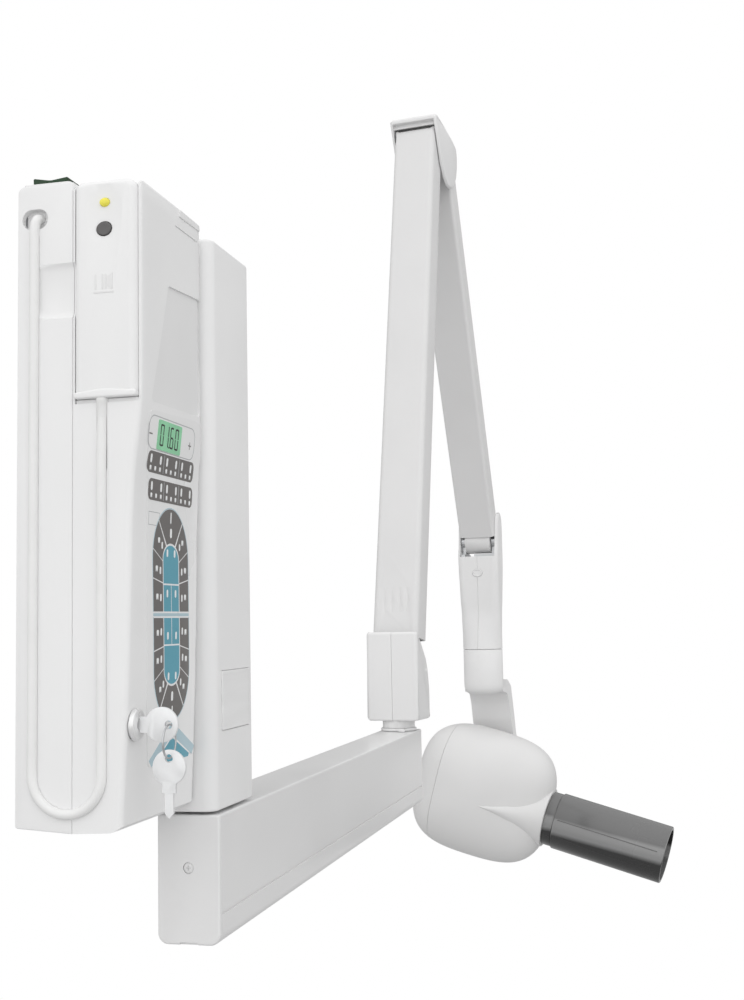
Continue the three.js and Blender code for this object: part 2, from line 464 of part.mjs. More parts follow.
// ---------- yoke ----------
const yokeSide = [[372, 29], [388, 29.5], [398, 26], [408, 10], [418, -16], [430, -50], [443, -86], [453, -123],
  [451, -146], [443, -152], [438, -146], [438, -104], [431.5, -88], [421.5, -62], [410.5, -45], [402, -28],
  [393, -4], [384, 10], [372, 14]];
const yokeFront = [[-22, 40], [24, 40], [29, 20], [33, -50], [34, -123], [30, -139], [19, -150], [4, -154],
  [-9, -150], [-19, -139], [-24, -123], [-25, -50], [-26, 20]];
add(scissor, 'yoke_casting', cut(
  join(turned([[0, 11], [20, 11], [25, 13.5], [27, 19], [27, 72.6], [9.6, 72.6], [9.6, 140], [0, 140]], 36)
    .translate(356, 0, 0),
  common(alongY(yokeSide, -28, 36), alongX(yokeFront, 360, 470))),
  rod('x', 9 + GAP, 430, 449, [HEAD_Y, HEAD_Z], 28)), 'shell');

// ---------- tube head: its own frame, y towards the back of the head, beam along -y ----------
const head = place(scissor, 356, HEAD_Y, HEAD_Z);
head.rotation.x = BEAM_TILT;
// rounded block: squarish seen from the side, rounder across, drawn in towards the beam side
function pillow(a, b, c) {
  const g = new THREE.SphereGeometry(1, 32, 20).rotateZ(Math.PI / 2);
  const p = g.attributes.position, v = new THREE.Vector3();
  for (let i = 0; i < p.count; i++) {
    v.fromBufferAttribute(p, i);
    const side = Math.pow(Math.abs(v.y), 3.2) + Math.pow(Math.abs(v.z), 3.2);
    const k = Math.pow(Math.pow(side, 2.4 / 3.2) + Math.pow(Math.abs(v.x), 2.4), -1 / 2.4);
    const y = v.y * k * b;
    p.setXYZ(i, v.x * k * a * (1 - 0.2 * THREE.MathUtils.smoothstep(-y, -10, 50)), y, v.z * k * c);
  }
  return g;
}
const SPLIT = 54.3;
const beamRod = (r, from, to, n = 36) => rod('y', r, -to, -from, [0, BEAM_DROP], n);
const swell = () => new THREE.CylinderGeometry(68, 39.5, 84, 48).translate(0, -52, BEAM_DROP);
add(head, 'head_rear_shell', cut(pillow(...HEAD),
  pillow(HEAD[0] - 3, HEAD[1] - 3, HEAD[2] - 3), box(-120, -120, -120, 120, SPLIT + 0.15, 120)), 'shell');
add(head, 'head_front_shell', cut(
  join(pillow(...HEAD), swell()),
  pillow(HEAD[0] - 3, HEAD[1] - 3, HEAD[2] - 3), box(-120, SPLIT - 0.15, -120, 120, 120, 120),
  beamRod(32, 60, 120),
  rod('x', 14.4, 60, 90, [0, 0], 24)), 'shell');
add(head, 'cone_adapter', new THREE.LatheGeometry(
  [[31.5, 94.2], [35.4, 94.2], [35.4, CONE_START - GAP], [31.5, CONE_START - GAP], [31.5, 94.2]].map(V2), 40)
  .rotateX(Math.PI).translate(0, 0, BEAM_DROP), 'cone');
add(head, 'cone_tube', new THREE.LatheGeometry(
  [[31.5, CONE_START], [CONE_R, CONE_START], [CONE_R, CONE_END - 1.5], [CONE_R - 1, CONE_END], [33, CONE_END],
    [33, CONE_START + 4], [31.5, CONE_START + 4], [31.5, CONE_START]].map(V2), 40)
  .rotateX(Math.PI).translate(0, 0, BEAM_DROP), 'cone');
add(head, 'beam_window', beamRod(31, 88, 90.5), 'glass');
add(head, 'collimator', cut(beamRod(30.5, 70, 87.7), beamRod(10, 60, 95)), 'lead');
add(head, 'tube_insert', turned([[0, -44], [9, -44], [9, -30], [17, -22], [17, 22], [9, 30], [9, 44], [0, 44]], 24)
  .rotateY(Math.PI / 2).translate(0, -30, BEAM_DROP), 'glass');
add(head, 'hv_transformer', cut(box(-40, 4, -48, 40, 50, 40), box(-26, 0, -30, 26, 60, 22)), 'copper');
add(head, 'head_trunnion', join(rod('x', 14, 61, 81.7, [0, 0], 28), rod('x', 9, 80, 92, [0, 0], 28)), 'steel');

export default group;
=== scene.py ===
"""Looks for the wall-hung intraoral x-ray unit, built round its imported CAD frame. Lengths in this script are
millimetres until a piece is made; every piece is stored in metres, in the CAD frame."""

import json
import math

import bmesh
import bpy
from mathutils import Matrix, Vector


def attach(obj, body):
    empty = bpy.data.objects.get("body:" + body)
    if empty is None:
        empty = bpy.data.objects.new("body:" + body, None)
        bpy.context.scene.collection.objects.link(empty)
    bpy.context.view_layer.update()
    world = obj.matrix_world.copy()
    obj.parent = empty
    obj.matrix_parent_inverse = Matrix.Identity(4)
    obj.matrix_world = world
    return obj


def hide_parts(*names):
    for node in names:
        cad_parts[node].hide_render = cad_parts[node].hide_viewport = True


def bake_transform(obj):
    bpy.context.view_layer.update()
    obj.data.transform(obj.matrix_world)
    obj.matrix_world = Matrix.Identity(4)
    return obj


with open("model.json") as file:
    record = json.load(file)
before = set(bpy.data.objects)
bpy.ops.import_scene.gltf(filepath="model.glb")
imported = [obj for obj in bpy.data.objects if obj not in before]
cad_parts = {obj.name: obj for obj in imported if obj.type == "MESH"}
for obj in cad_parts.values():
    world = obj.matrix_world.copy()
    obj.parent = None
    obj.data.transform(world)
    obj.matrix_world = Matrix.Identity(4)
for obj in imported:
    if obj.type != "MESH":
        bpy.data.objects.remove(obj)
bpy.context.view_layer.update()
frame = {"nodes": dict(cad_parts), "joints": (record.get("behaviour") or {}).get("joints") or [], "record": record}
MM = 0.001
SLOT_OF = {s["node"]: s["material_slot"] for s in frame["record"]["subparts"]}


# ---------- frames ----------
def joint(name):
    return next(j for j in frame["joints"] if j["name"] == name)


def pivot(name):
    return Vector(joint(name)["pos_m"])


def placed(origin, x, y, z):
    """Matrix that takes millimetres along three directions to metres in the CAD frame."""
    m = Matrix.Identity(4)
    for i, v in enumerate((x, y, z)):
        m.col[i] = (*(v * MM), 0)
    m.col[3] = (*origin, 1)
    return m


UP = Vector((0, 0, 1))
ACROSS = Vector(joint("lower_arm_tilt")["axis"]).normalized()
FORWARD = ACROSS.cross(UP)
COLUMN = Vector((*pivot("column_turn")[:2], -0.185))
CORNER = Vector((-0.095, 0, -0.185))
WALL = placed(CORNER, Vector((1, 0, 0)), Vector((0, 1, 0)), UP)
SCISSOR = placed(COLUMN, FORWARD, ACROSS, UP)


def along(start, end):
    """Frame of an arm: z from one pivot towards the other, y across the scissor plane."""
    z = (end - start).normalized()
    return placed(start, ACROSS.cross(z), ACROSS, z)


P1, P2 = pivot("lower_arm_tilt"), pivot("elbow_level")
P3, P4 = pivot("upper_arm_tilt"), pivot("wrist_level")
LOWER, UPPER = along(P1, P2), along(P3, P4)
L1, L2 = (P2 - P1).length / MM, (P4 - P3).length / MM
BEAM_TILT = math.radians(15.4)
head_y = ACROSS * math.cos(BEAM_TILT) + UP * math.sin(BEAM_TILT)
HEAD = placed(pivot("head_tilt"), FORWARD, head_y, FORWARD.cross(head_y))


# ---------- outlines ----------
def around(n):
    """Angles of n even steps round a full turn."""
    return [math.tau * k / n for k in range(n)]


def ellipse(cx, cy, rx, ry, n=40):
    return [(cx + rx * math.cos(a), cy + ry * math.sin(a)) for a in around(n)]


def circle(cx, cy, r, n=32):
    return ellipse(cx, cy, r, r, n)


def rounded(points, n=6):
    """A polygon of (a, b, radius) corners with each corner turned into an arc."""
    out = []
    count = len(points)
    for i, (px, py, r) in enumerate(points):
        p = Vector((px, py))
        a = Vector(points[i - 1][:2]) - p
        b = Vector(points[(i + 1) % count][:2]) - p
        angle = a.angle(b)
        if r <= 0 or angle > math.pi - 0.01:
            out.append((px, py))
            continue
        reach = min(r / math.tan(angle / 2), 0.49 * a.length, 0.49 * b.length)
        radius = reach * math.tan(angle / 2)
        a.normalize()
        b.normalize()
        centre = p + (a + b).normalized() * (radius / math.sin(angle / 2))
        v0, v1 = p + a * reach - centre, p + b * reach - centre
        turn = math.atan2(v0.x * v1.y - v0.y * v1.x, v0.dot(v1))
        for k in range(n + 1):
            t = turn * k / n
            c, s = math.cos(t), math.sin(t)
            out.append((centre.x + v0.x * c - v0.y * s, centre.y + v0.x * s + v0.y * c))
    return out


def rect(x0, y0, x1, y1, r=0.0, n=6):
    return rounded([(x0, y0, r), (x1, y0, r), (x1, y1, r), (x0, y1, r)], n)


def area2(outline):
    """Twice the area, below zero where the outline runs clockwise."""
    return sum(a[0] * b[1] - b[0] * a[1] for a, b in zip(outline, outline[1:] + outline[:1]))


def inset(outline, d):
    """The outline moved inwards by d, each point along its own normal."""
    if abs(d) < 1e-9:
        return list(outline)
    side = 1 if area2(outline) > 0 else -1
    out = []
    count = len(outline)
    for i in range(count):
        p0, p, p1 = (Vector(outline[j % count]) for j in (i - 1, i, i + 1))
        e0, e1 = (p - p0).normalized(), (p1 - p).normalized()
        n0, n1 = Vector((-e0.y, e0.x)) * side, Vector((-e1.y, e1.x)) * side
        n = (n0 + n1).normalized()
        out.append(tuple(p + n * (d / max(n.dot(n0), 0.4))))
    return out


def hermite(points, x):
    """Smooth curve through (x, y) points, without overshoot."""
    if x <= points[0][0]:
        return points[0][1]
    if x >= points[-1][0]:
        return points[-1][1]
    i = max(k for k in range(len(points) - 1) if points[k][0] <= x)

    def slope(k):
        if k <= 0 or k >= len(points) - 1:
            k0, k1 = (0, 1) if k <= 0 else (len(points) - 2, len(points) - 1)
            return (points[k1][1] - points[k0][1]) / (points[k1][0] - points[k0][0])
        s0 = (points[k][1] - points[k - 1][1]) / (points[k][0] - points[k - 1][0])
        s1 = (points[k + 1][1] - points[k][1]) / (points[k + 1][0] - points[k][0])
        return 0.0 if s0 * s1 <= 0 else 2 * s0 * s1 / (s0 + s1)

    (x0, y0), (x1, y1) = points[i], points[i + 1]
    h = x1 - x0
    t = (x - x0) / h
    m0, m1 = slope(i) * h, slope(i + 1) * h
    return (
        y0 * (2 * t**3 - 3 * t**2 + 1) + m0 * (t**3 - 2 * t**2 + t)
        + y1 * (3 * t**2 - 2 * t**3) + m1 * (t**3 - t**2)
    )


# ---------- meshes ----------
AXES = {"x": (1, 2, 0), "y": (0, 2, 1), "z": (0, 1, 2)}


def ring3(outline, axis, h):
    i, j, k = AXES[axis]
    out = []
    for a, b in outline:
        co = [0.0, 0.0, 0.0]
        co[i], co[j], co[k] = a, b, h
        out.append(co)
    return out


def clamp(t):
    return min(max(t, 0.0), 1.0)


def smooth(t):
    """Eases from 0 to 1 as t goes from 0 to 1, and stays level outside."""
    t = clamp(t)
    return t * t * (3 - 2 * t)


def loft(rings, bm=None, cap=True):
    """Skin through rings with the same number of points; a ring of one point is a pole."""
    bm = bm or bmesh.new()
    made = [[bm.verts.new(p) for p in ring] for ring in rings]
    for a, b in zip(made, made[1:]):
        n = max(len(a), len(b))
        for i in range(n):
            j = (i + 1) % n
            if len(a) == 1:
                bm.faces.new((a[0], b[j], b[i]))
            elif len(b) == 1:
                bm.faces.new((a[i], a[j], b[0]))
            else:
                bm.faces.new((a[i], a[j], b[j], b[i]))
    if cap:
        for ring in (made[0], made[-1]):
            if len(ring) > 2:
                bm.faces.new(ring)
    return bm


def prism(outline, axis, lo, hi, round_lo=0.0, round_hi=0.0, steps=4, bm=None):
    """An outline carried along an axis, with its end edges rounded by the given radii."""
    rings = []
    for i in range(steps if round_lo else 0):
        t = math.pi / 2 * i / steps
        d, rise = round_lo * (1 - math.sin(t)), round_lo * (1 - math.cos(t))
        rings.append(ring3(inset(outline, d), axis, lo + rise))
    rings.append(ring3(outline, axis, lo + round_lo))
    rings.append(ring3(outline, axis, hi - round_hi))
    for i in range(1, steps + 1 if round_hi else 0):
        t = math.pi / 2 * i / steps
        d, drop = round_hi * (1 - math.cos(t)), round_hi * (1 - math.sin(t))
        rings.append(ring3(inset(outline, d), axis, hi - drop))
    return loft(rings, bm)


def block(x0, y0, z0, x1, y1, z1):
    return prism(rect(x0, y0, x1, y1), "z", z0, z1)


def rod(axis, r, lo, hi, at, n=40):
    return prism(circle(*at, r, n), axis, lo, hi)


def turned(profile, n=48, axis="z", at=(0.0, 0.0)):
    """A (radius, height) profile turned about an axis."""
    return loft([ring3([at] if r < 1e-6 else circle(*at, r, n), axis, h) for r, h in profile], cap=False)


def hoop(profile, n, axis, at):
    """A closed (radius, height) profile turned about an axis, with a hole in the middle."""
    return loft([ring3(circle(*at, r, n), axis, h) for r, h in profile + profile[:1]], cap=False)


def swept(path, r, n):
    """A round tube along a path of points."""
    pts = [Vector(p) for p in path]
    rings = []
    side = None
    for i, p in enumerate(pts):
        t = (pts[min(i + 1, len(pts) - 1)] - pts[max(i - 1, 0)]).normalized()
        if side is None:
            side = t.orthogonal().normalized()
        side = (side - t * side.dot(t)).normalized()
        other = t.cross(side)
        rings.append([p + (side * math.cos(a) + other * math.sin(a)) * r for a in around(n)])
    return loft(rings)


def spline(points, per=8):
    """Catmull-Rom curve through points."""
    p = [Vector(q) for q in points]
    p = [2 * p[0] - p[1]] + p + [2 * p[-1] - p[-2]]
    out = []
    for i in range(1, len(p) - 2):
        for k in range(per):
            t = k / per
            out.append(0.5 * (
                2 * p[i] + (p[i + 1] - p[i - 1]) * t
                + (2 * p[i - 1] - 5 * p[i] + 4 * p[i + 1] - p[i + 2]) * t**2
                + (3 * p[i] - p[i - 1] - 3 * p[i + 1] + p[i + 2]) * t**3))
    out.append(p[-2])
    return out


def ellipsoid(centre, radii, n=40, m=24):
    cx, cy, cz = centre
    rings = []
    for i in range(m + 1):
        t = math.pi * i / m
        r, h = math.sin(t), -math.cos(t)
        ring = [(0, 0)] if i in (0, m) else circle(0, 0, r, n)
        rings.append([(cx + radii[0] * a, cy + radii[1] * b, cz + radii[2] * h) for a, b in ring])
    return loft(rings, cap=False)


def piece(name, bm, where, material, sharp=40.0, bevel=0.0, segments=3):
    """A closed mesh as an object; edges over the sharp angle stay crisp, or are rounded by bevel mm."""
    bm.transform(where)
    bmesh.ops.remove_doubles(bm, verts=bm.verts, dist=1e-7)
    bmesh.ops.recalc_face_normals(bm, faces=bm.faces)
    me = bpy.data.meshes.new(name)
    bm.to_mesh(me)
    bm.free()
    ob = bpy.data.objects.new(name, me)
    bpy.context.scene.collection.objects.link(ob)
    if material:
        me.materials.append(material)
    soften(ob, sharp, bevel, segments)
    return ob


def soften(ob, sharp=40.0, bevel=0.0, segments=3):
    ob.data.shade_smooth()
    if bevel:
        mod = ob.modifiers.new("edges", "BEVEL")
        mod.width = bevel * MM
        mod.segments = segments
        mod.limit_method = "ANGLE"
        mod.angle_limit = math.radians(sharp)
        mod.harden_normals = True
        mod.miter_outer = "MITER_ARC"
    else:
        ob.data.set_sharp_from_angle(angle=math.radians(sharp))


def boolean(ob, other, how):
    """An exact boolean modifier on ob that works with another object."""
    mod = ob.modifiers.new("cut", "BOOLEAN")
    mod.object = other
    mod.operation = how
    mod.solver = "EXACT"
    return mod


def mesh_now(ob):
    """The mesh that ob's modifiers make."""
    graph = bpy.context.evaluated_depsgraph_get()
    return bpy.data.meshes.new_from_object(ob.evaluated_get(graph))


def carve(ob, where, *tools, how="DIFFERENCE"):
    """Cuts tools from ob or joins them to it, and keeps its material; the tools are in the frame where."""
    cutters = []
    for i, bm in enumerate(tools):
        cutter = piece(f"cutter_{i}", bm, where, None)
        cutters.append((cutter, boolean(ob, cutter, how)))
    me = mesh_now(ob)
    for cutter, mod in cutters:
        ob.modifiers.remove(mod)
        bpy.data.objects.remove(cutter)
    materials = list(ob.data.materials)
    ob.data = me
    me.materials.clear()
    for m in materials:
        me.materials.append(m)
    soften(ob)


def stands_for(ob, body, node):
    """ob rides on a body and stands for a CAD node."""
    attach(ob, body)
    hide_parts(node)


def detail(name, bm, where, material, body, slot, sharp=40.0, bevel=0.0):
    """A piece of surface detail that rides on a body and stands for no CAD node."""
    ob = piece(name, bm, where, material, sharp, bevel)
    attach(ob, body)


def shaped(name, bm, where, material, body, node, cuts=(), joins=(), soft=(40.0,)):
    """A piece that stands for a CAD node: joined with some tools, then cut by others, then softened."""
    ob = piece(name, bm, where, material)
    if joins:
        carve(ob, where, *joins, how="UNION")
    if cuts:
        carve(ob, where, *cuts)
    soften(ob, *soft)
    stands_for(ob, body, node)


def body_of(node):
    bodies = frame["record"]["behaviour"]["bodies"]
    return next(body for body, members in bodies.items() if node in members)


def refined(node, material, bevel, sharp=28.0):
    """A CAD node's own shape with its flats merged, its edges rounded and its curves shaded smooth."""
    bm = bmesh.new()
    bm.from_mesh(frame["nodes"][node].data)
    bmesh.ops.remove_doubles(bm, verts=bm.verts, dist=2e-6)
    bmesh.ops.dissolve_limit(bm, angle_limit=math.radians(0.6), verts=bm.verts, edges=bm.edges)
    ob = piece(f"{node}_fine", bm, Matrix.Identity(4), material, sharp, bevel)
    stands_for(ob, body_of(node), node)


# ---------- materials ----------
def shader_node(tree, kind, values):
    """A new shader node with the given input values."""
    node = tree.nodes.new(kind)
    for name, value in values.items():
        node.inputs[name].default_value = value
    return node


def new_material(name, base, rough, metal=0.0):
    mat = bpy.data.materials.new(name)
    mat.use_nodes = True
    tree = mat.node_tree
    shader = tree.nodes["Principled BSDF"]
    shader.inputs["Base Color"].default_value = (*base, 1)
    shader.inputs["Roughness"].default_value = rough
    shader.inputs["Metallic"].default_value = metal
    return mat, tree, shader


def noise(tree, scale, detail, stretch):
    coord = tree.nodes.new("ShaderNodeTexCoord")
    mapping = shader_node(tree, "ShaderNodeMapping", {"Scale": stretch})
    node = shader_node(tree, "ShaderNodeTexNoise", {"Scale": scale, "Detail": detail, "Roughness": 0.5})
    tree.links.new(coord.outputs["Object"], mapping.inputs["Vector"])
    tree.links.new(mapping.outputs["Vector"], node.inputs["Vector"])
    return node.outputs["Fac"]


def ranged(tree, value, lo, hi, in_lo=0.3, in_hi=0.7):
    values = {"From Min": in_lo, "From Max": in_hi, "To Min": lo, "To Max": hi}
    node = shader_node(tree, "ShaderNodeMapRange", values)
    tree.links.new(value, node.inputs["Value"])
    return node.outputs["Result"]


def tinted(tree, shader, value, dark, light):
    mix = tree.nodes.new("ShaderNodeMix")
    mix.data_type = "RGBA"
    mix.inputs["A"].default_value = (*dark, 1)
    mix.inputs["B"].default_value = (*light, 1)
    tree.links.new(value, mix.inputs["Factor"])
    tree.links.new(mix.outputs["Result"], shader.inputs["Base Color"])


def bumped(tree, shader, value, depth_mm):
    bump = shader_node(tree, "ShaderNodeBump", {"Strength": 1.0, "Distance": depth_mm * MM})
    tree.links.new(value, bump.inputs["Height"])
    tree.links.new(bump.outputs["Normal"], shader.inputs["Normal"])


def shade(base, k):
    """The colour made k times as bright."""
    return tuple(min(c * k, 1.0) for c in base)


def surface(name, base, rough, metal=0.0, grain=1400.0, depth=0.02, mottle=0.025, cloud=14.0,
            stretch=(1, 1, 1), coat=0.0):
    """Moulded, painted or machined surface: cloudy tint, uneven gloss and a fine grain."""
    mat, tree, shader = new_material(name, base, rough, metal)
    broad = noise(tree, cloud, 3.0, stretch)
    fine = noise(tree, grain, 2.0, stretch)
    tinted(tree, shader, ranged(tree, broad, 0, 1), shade(base, 1 - mottle), shade(base, 1 + mottle))
    spread = 0.06
    tree.links.new(ranged(tree, broad, rough - spread, rough + spread), shader.inputs["Roughness"])
    bumped(tree, shader, fine, depth)
    if coat:
        shader.inputs["Coat Weight"].default_value = coat
        shader.inputs["Coat Roughness"].default_value = 0.12
    return mat


def moulded(name, base, rough=0.42):
    """Plain moulded plastic with a very fine grain."""
    return surface(name, base, rough, grain=2600, depth=0.012, mottle=0.012)


def printed(name, base, mottle=0.05):
    """Ink under a glossy film."""
    return surface(name, base, 0.34, grain=2400, depth=0.008, mottle=mottle, coat=0.2)


def lit(name, base, rough, glow, strength):
    """A translucent plastic with light behind it."""
    mat = surface(name, base, rough, grain=900, depth=0.01, mottle=0.08, cloud=120)
    shader = mat.node_tree.nodes["Principled BSDF"]
    shader.inputs["Emission Color"].default_value = (*glow, 1)
    shader.inputs["Emission Strength"].default_value = strength
    return mat


def painted_shade_plastic(name, stops, rough):
    """Glossy dark plastic with painted shade and painted reflection: its colour follows which way the surface
    faces, near black facing down, with a pale band where it faces sideways.
    """
    mat = surface(name, (0.1, 0.1, 0.1), rough, grain=500, depth=0.004, mottle=0.06, coat=0.3)
    tree, shader = mat.node_tree, mat.node_tree.nodes["Principled BSDF"]
    facing = tree.nodes.new("ShaderNodeNewGeometry")
    split = tree.nodes.new("ShaderNodeSeparateXYZ")
    tree.links.new(facing.outputs["Normal"], split.inputs[0])
    height = ranged(tree, split.outputs["Z"], 0, 1, -1, 1)
    # ramp from facing down to facing up: painted shade below, painted reflection at the sides
    ramp = tree.nodes.new("ShaderNodeValToRGB")
    for k, (at, grey) in enumerate(stops):
        stop = ramp.color_ramp.elements[k] if k < 2 else ramp.color_ramp.elements.new(at)
        stop.position = at
        stop.color = (grey, grey, grey, 1)
    tree.links.new(height, ramp.inputs["Fac"])
    tree.links.new(ramp.outputs["Color"], shader.inputs["Base Color"])
    return mat


HOUSING = moulded("housing_plastic", (0.82, 0.82, 0.82))
HEAD_PLASTIC = moulded("head_plastic", (0.7, 0.697, 0.695))
# grey of the wrist pin; also painted shade laid on the panel recess floor
PIN_GREY_AND_PANEL_SHADE = moulded("pin_grey_and_panel_shade", (0.77, 0.77, 0.77), 0.4)
CAP = surface("cap_plastic", (0.765, 0.763, 0.763), 0.46, grain=2200, depth=0.02, mottle=0.012)
PAINT = surface("arm_enamel", (0.75, 0.748, 0.748), 0.36, grain=900, depth=0.015, mottle=0.012, coat=0.25)
PAINT_DARK = surface("arm_enamel_grey", (0.7, 0.697, 0.697), 0.38, grain=900, depth=0.015, mottle=0.015,
                     coat=0.2)
STEEL = surface("machined_steel", (0.55, 0.56, 0.57), 0.32, metal=1.0, grain=700, depth=0.01, mottle=0.05,
                stretch=(1, 1, 14))
BRIGHT = surface("nickel_plate", (0.8, 0.8, 0.8), 0.32, metal=0.45, grain=900, depth=0.008, mottle=0.03,
                 cloud=90)
KEY_METAL = surface("key_nickel", (0.80, 0.805, 0.81), 0.4, metal=0.35, grain=1200, depth=0.012, mottle=0.03,
                    cloud=160)
BADGE = surface("satin_badge", (0.81, 0.81, 0.81), 0.38, metal=0.0, grain=1500, depth=0.012, mottle=0.02,
                stretch=(1, 1, 9))
# painted shade and painted reflection on the cone: grey set by how far each surface faces up
CONE_PAINTED_SHADE = ((0.36, 0.022), (0.44, 0.24), (0.62, 0.24), (0.67, 0.12), (1.0, 0.15))
CONE = painted_shade_plastic("cone_plastic_painted_shade", CONE_PAINTED_SHADE, 0.24)
CABLE = surface("cable_jacket", (0.8, 0.8, 0.795), 0.5, grain=1500, depth=0.02, mottle=0.02, cloud=60)
FILM = surface("keypad_film", (0.82, 0.82, 0.82), 0.3, grain=2200, depth=0.006, mottle=0.01, coat=0.2)
KEY_GREY = printed("print_grey", (0.125, 0.115, 0.11))
TEAL = printed("print_teal", (0.08, 0.33, 0.43))
PALE_BLUE = printed("print_pale_blue", (0.42, 0.56, 0.62), 0.04)
WHITE_PRINT = surface("print_white", (0.85, 0.86, 0.86), 0.36, grain=2400, depth=0.006, mottle=0.02)
LINE_GREY = surface("print_line", (0.42, 0.43, 0.44), 0.36, grain=2400, depth=0.006, mottle=0.03)
INK = surface("display_ink", (0.012, 0.02, 0.016), 0.25, grain=2400, depth=0.004, mottle=0.1)
BUTTON = surface("dark_button", (0.11, 0.105, 0.105), 0.5, grain=1800, depth=0.03, mottle=0.06, cloud=200)
ROCKER = surface("rocker_green", (0.001, 0.02, 0.001), 0.4, grain=600, depth=0.004, mottle=0.2, cloud=150)
LCD = lit("display_green", (0.22, 0.5, 0.3), 0.2, (0.25, 0.62, 0.36), 0.16)
LAMP = lit("lamp_yellow", (0.75, 0.68, 0.08), 0.15, (0.9, 0.82, 0.1), 0.12)
GLOW_GREEN = lit("rocker_lens", (0.0, 0.03, 0.004), 0.25, (0.0, 0.3, 0.02), 0.006)
BOARD = surface("solder_mask", (0.02, 0.11, 0.05), 0.4, grain=500, depth=0.03, mottle=0.15, cloud=60)
COPPER = surface("winding", (0.5, 0.22, 0.08), 0.35, metal=0.8, grain=300, depth=0.08, mottle=0.15,
                 stretch=(1, 1, 6))
LEAD = surface("lead", (0.16, 0.17, 0.18), 0.6, metal=0.7, grain=300, depth=0.05, mottle=0.12)
FILTER = surface("filter_metal", (0.6, 0.61, 0.62), 0.35, metal=1.0, grain=600, depth=0.01, mottle=0.05)
GLASS = surface("tube_glass", (0.75, 0.85, 0.88), 0.08, grain=200, depth=0.002, mottle=0.03)

BY_SLOT = {
    "housing": HOUSING, "arm_paint": PAINT, "steel": STEEL, "bright_metal": BRIGHT, "badge": BADGE,
    "cone_plastic": CONE, "cable_rubber": CABLE, "keypad_film": FILM, "display": LCD, "dark_button": BUTTON,
    "switch_green": ROCKER, "lamp_yellow": LAMP, "circuit_board": BOARD, "copper_winding": COPPER,
    "lead": LEAD, "filter_metal": FILTER, "tube_glass": GLASS,
}
for node, ob in frame["nodes"].items():
    ob.data.materials.clear()
    ob.data.materials.append(BY_SLOT[SLOT_OF[node]])

# ---------- control unit ----------
UNIT_W, UNIT_TOP, SEAM = 108.0, 381.5, -37.0
# right of TURN_X the face rounds off: TURN_DEEP back, to TURN_Y
TURN_X, TURN_Y, TURN_DEEP = 91.0, -66.0, 14.6
# how far out the control face stands, and how high its top edge is: (z, y) and (x, z)
FACE = [(1, -67.8), (16, -68.6), (47, -70), (98, -72), (175, -74), (204, -75.6), (228, -78.4), (250, -80.3),
        (280, -80.6), (372, -80.6)]
BROW = [(-2, 375), (3, 379), (9, 381), (30, 383.4), (60, 384.2), (85, 381), (100, 377.6), (112, 372)]
PANEL = [(42, 324.5), (102, 328.6), (102, 290), (95, 250.2), (81, 249.5), (15.5, 248), (24, 272), (34, 300)]
CABLE_Y1, CABLE_Y2, BEND_Z, CABLE_X = -12.0, -55.7, 29.0, -0.7


def face_y(z, x=0.0):
    """How far out the control face stands: it slopes along z and rounds off towards the right side."""
    flat = hermite(FACE, z)
    if x <= TURN_X:
        return flat
    across = (x - TURN_X) / (UNIT_W - TURN_X)
    return max(flat, TURN_Y - TURN_DEEP * math.sqrt(max(0.0, 1 - across ** 2)))


def face_sheet(outlines, proud, thick):
    """Closed plates lying on the control face: each (x, z) outline, raised from proud by thick."""
    out = bmesh.new()
    for outline in outlines:
        sheet = bmesh.new()
        sheet.faces.new([sheet.verts.new((x, 0, z)) for x, z in outline])
        lo, hi = min(z for _, z in outline), max(z for _, z in outline)
        right = max(x for x, _ in outline)
        planes = [((0, 0, z), UP) for z in range(0, 400, 10) if lo + 0.2 < z < hi - 0.2]
        planes += [((x, 0, 0), Vector((1, 0, 0))) for x in range(91, 107, 3) if x < right]
        for at, facing in planes:
            everything = sheet.verts[:] + sheet.edges[:] + sheet.faces[:]
            bmesh.ops.bisect_plane(sheet, geom=everything, plane_co=at, plane_no=facing)
        made = bmesh.ops.extrude_face_region(sheet, geom=sheet.faces[:])
        front = {v for v in made["geom"] if isinstance(v, bmesh.types.BMVert)}
        for v in sheet.verts:
            v.co.y = face_y(v.co.z, v.co.x) - proud - (thick if v in front else 0)
        bmesh.ops.recalc_face_normals(sheet, faces=sheet.faces)
        me = bpy.data.meshes.new("sheet")
        sheet.to_mesh(me)
        sheet.free()
        out.from_mesh(me)
        bpy.data.meshes.remove(me)
    return out


def cable_path():
    """Middle line of the lead: down the unit's side, round a U bend and up to the handset."""
    x, r, mid = CABLE_X, (CABLE_Y1 - CABLE_Y2) / 2, (CABLE_Y1 + CABLE_Y2) / 2
    start = spline([(9, -14, 361.2), (4, -13.4, 361.6), (0.6, -12.6, 359.6), (x, CABLE_Y1, 352),
                    (x, CABLE_Y1, 340)], 6)
    leg = [(x, CABLE_Y1, z) for z in range(330, 29, -12)]
    turn = [-math.pi * k / 28 for k in range(29)]
    bend = [(x, mid + r * math.cos(a), BEND_Z + r * math.sin(a)) for a in turn]
    back = [(x, CABLE_Y2, z) for z in range(40, 205, 12)]
    end = spline([(x, CABLE_Y2, 206), (x + 0.4, CABLE_Y2, 220), (x + 1.0, CABLE_Y2, 232),
                  (0.6, CABLE_Y2, 237.5)], 5)
    return [Vector(p) for p in (*start, *leg, *bend, *back, *end)]


def groove_tool():
    """The lead's own groove, a little wider than the lead, below the place where it comes out."""
    return swept([(CABLE_X, p.y, p.z) for p in cable_path() if p.z < 352], 3.06, 20)


def scoop():
    """Shallow finger recess with sloping sides, open to the handset pocket."""
    outer = rect(-50, 298, -10, 332.5, 10)
    depths = ((0.4, 0.02), (2, 1.1), (5, 1.9))
    return loft([ring3(outer, "x", -1), *(ring3(inset(outer, d), "x", x) for d, x in depths)])


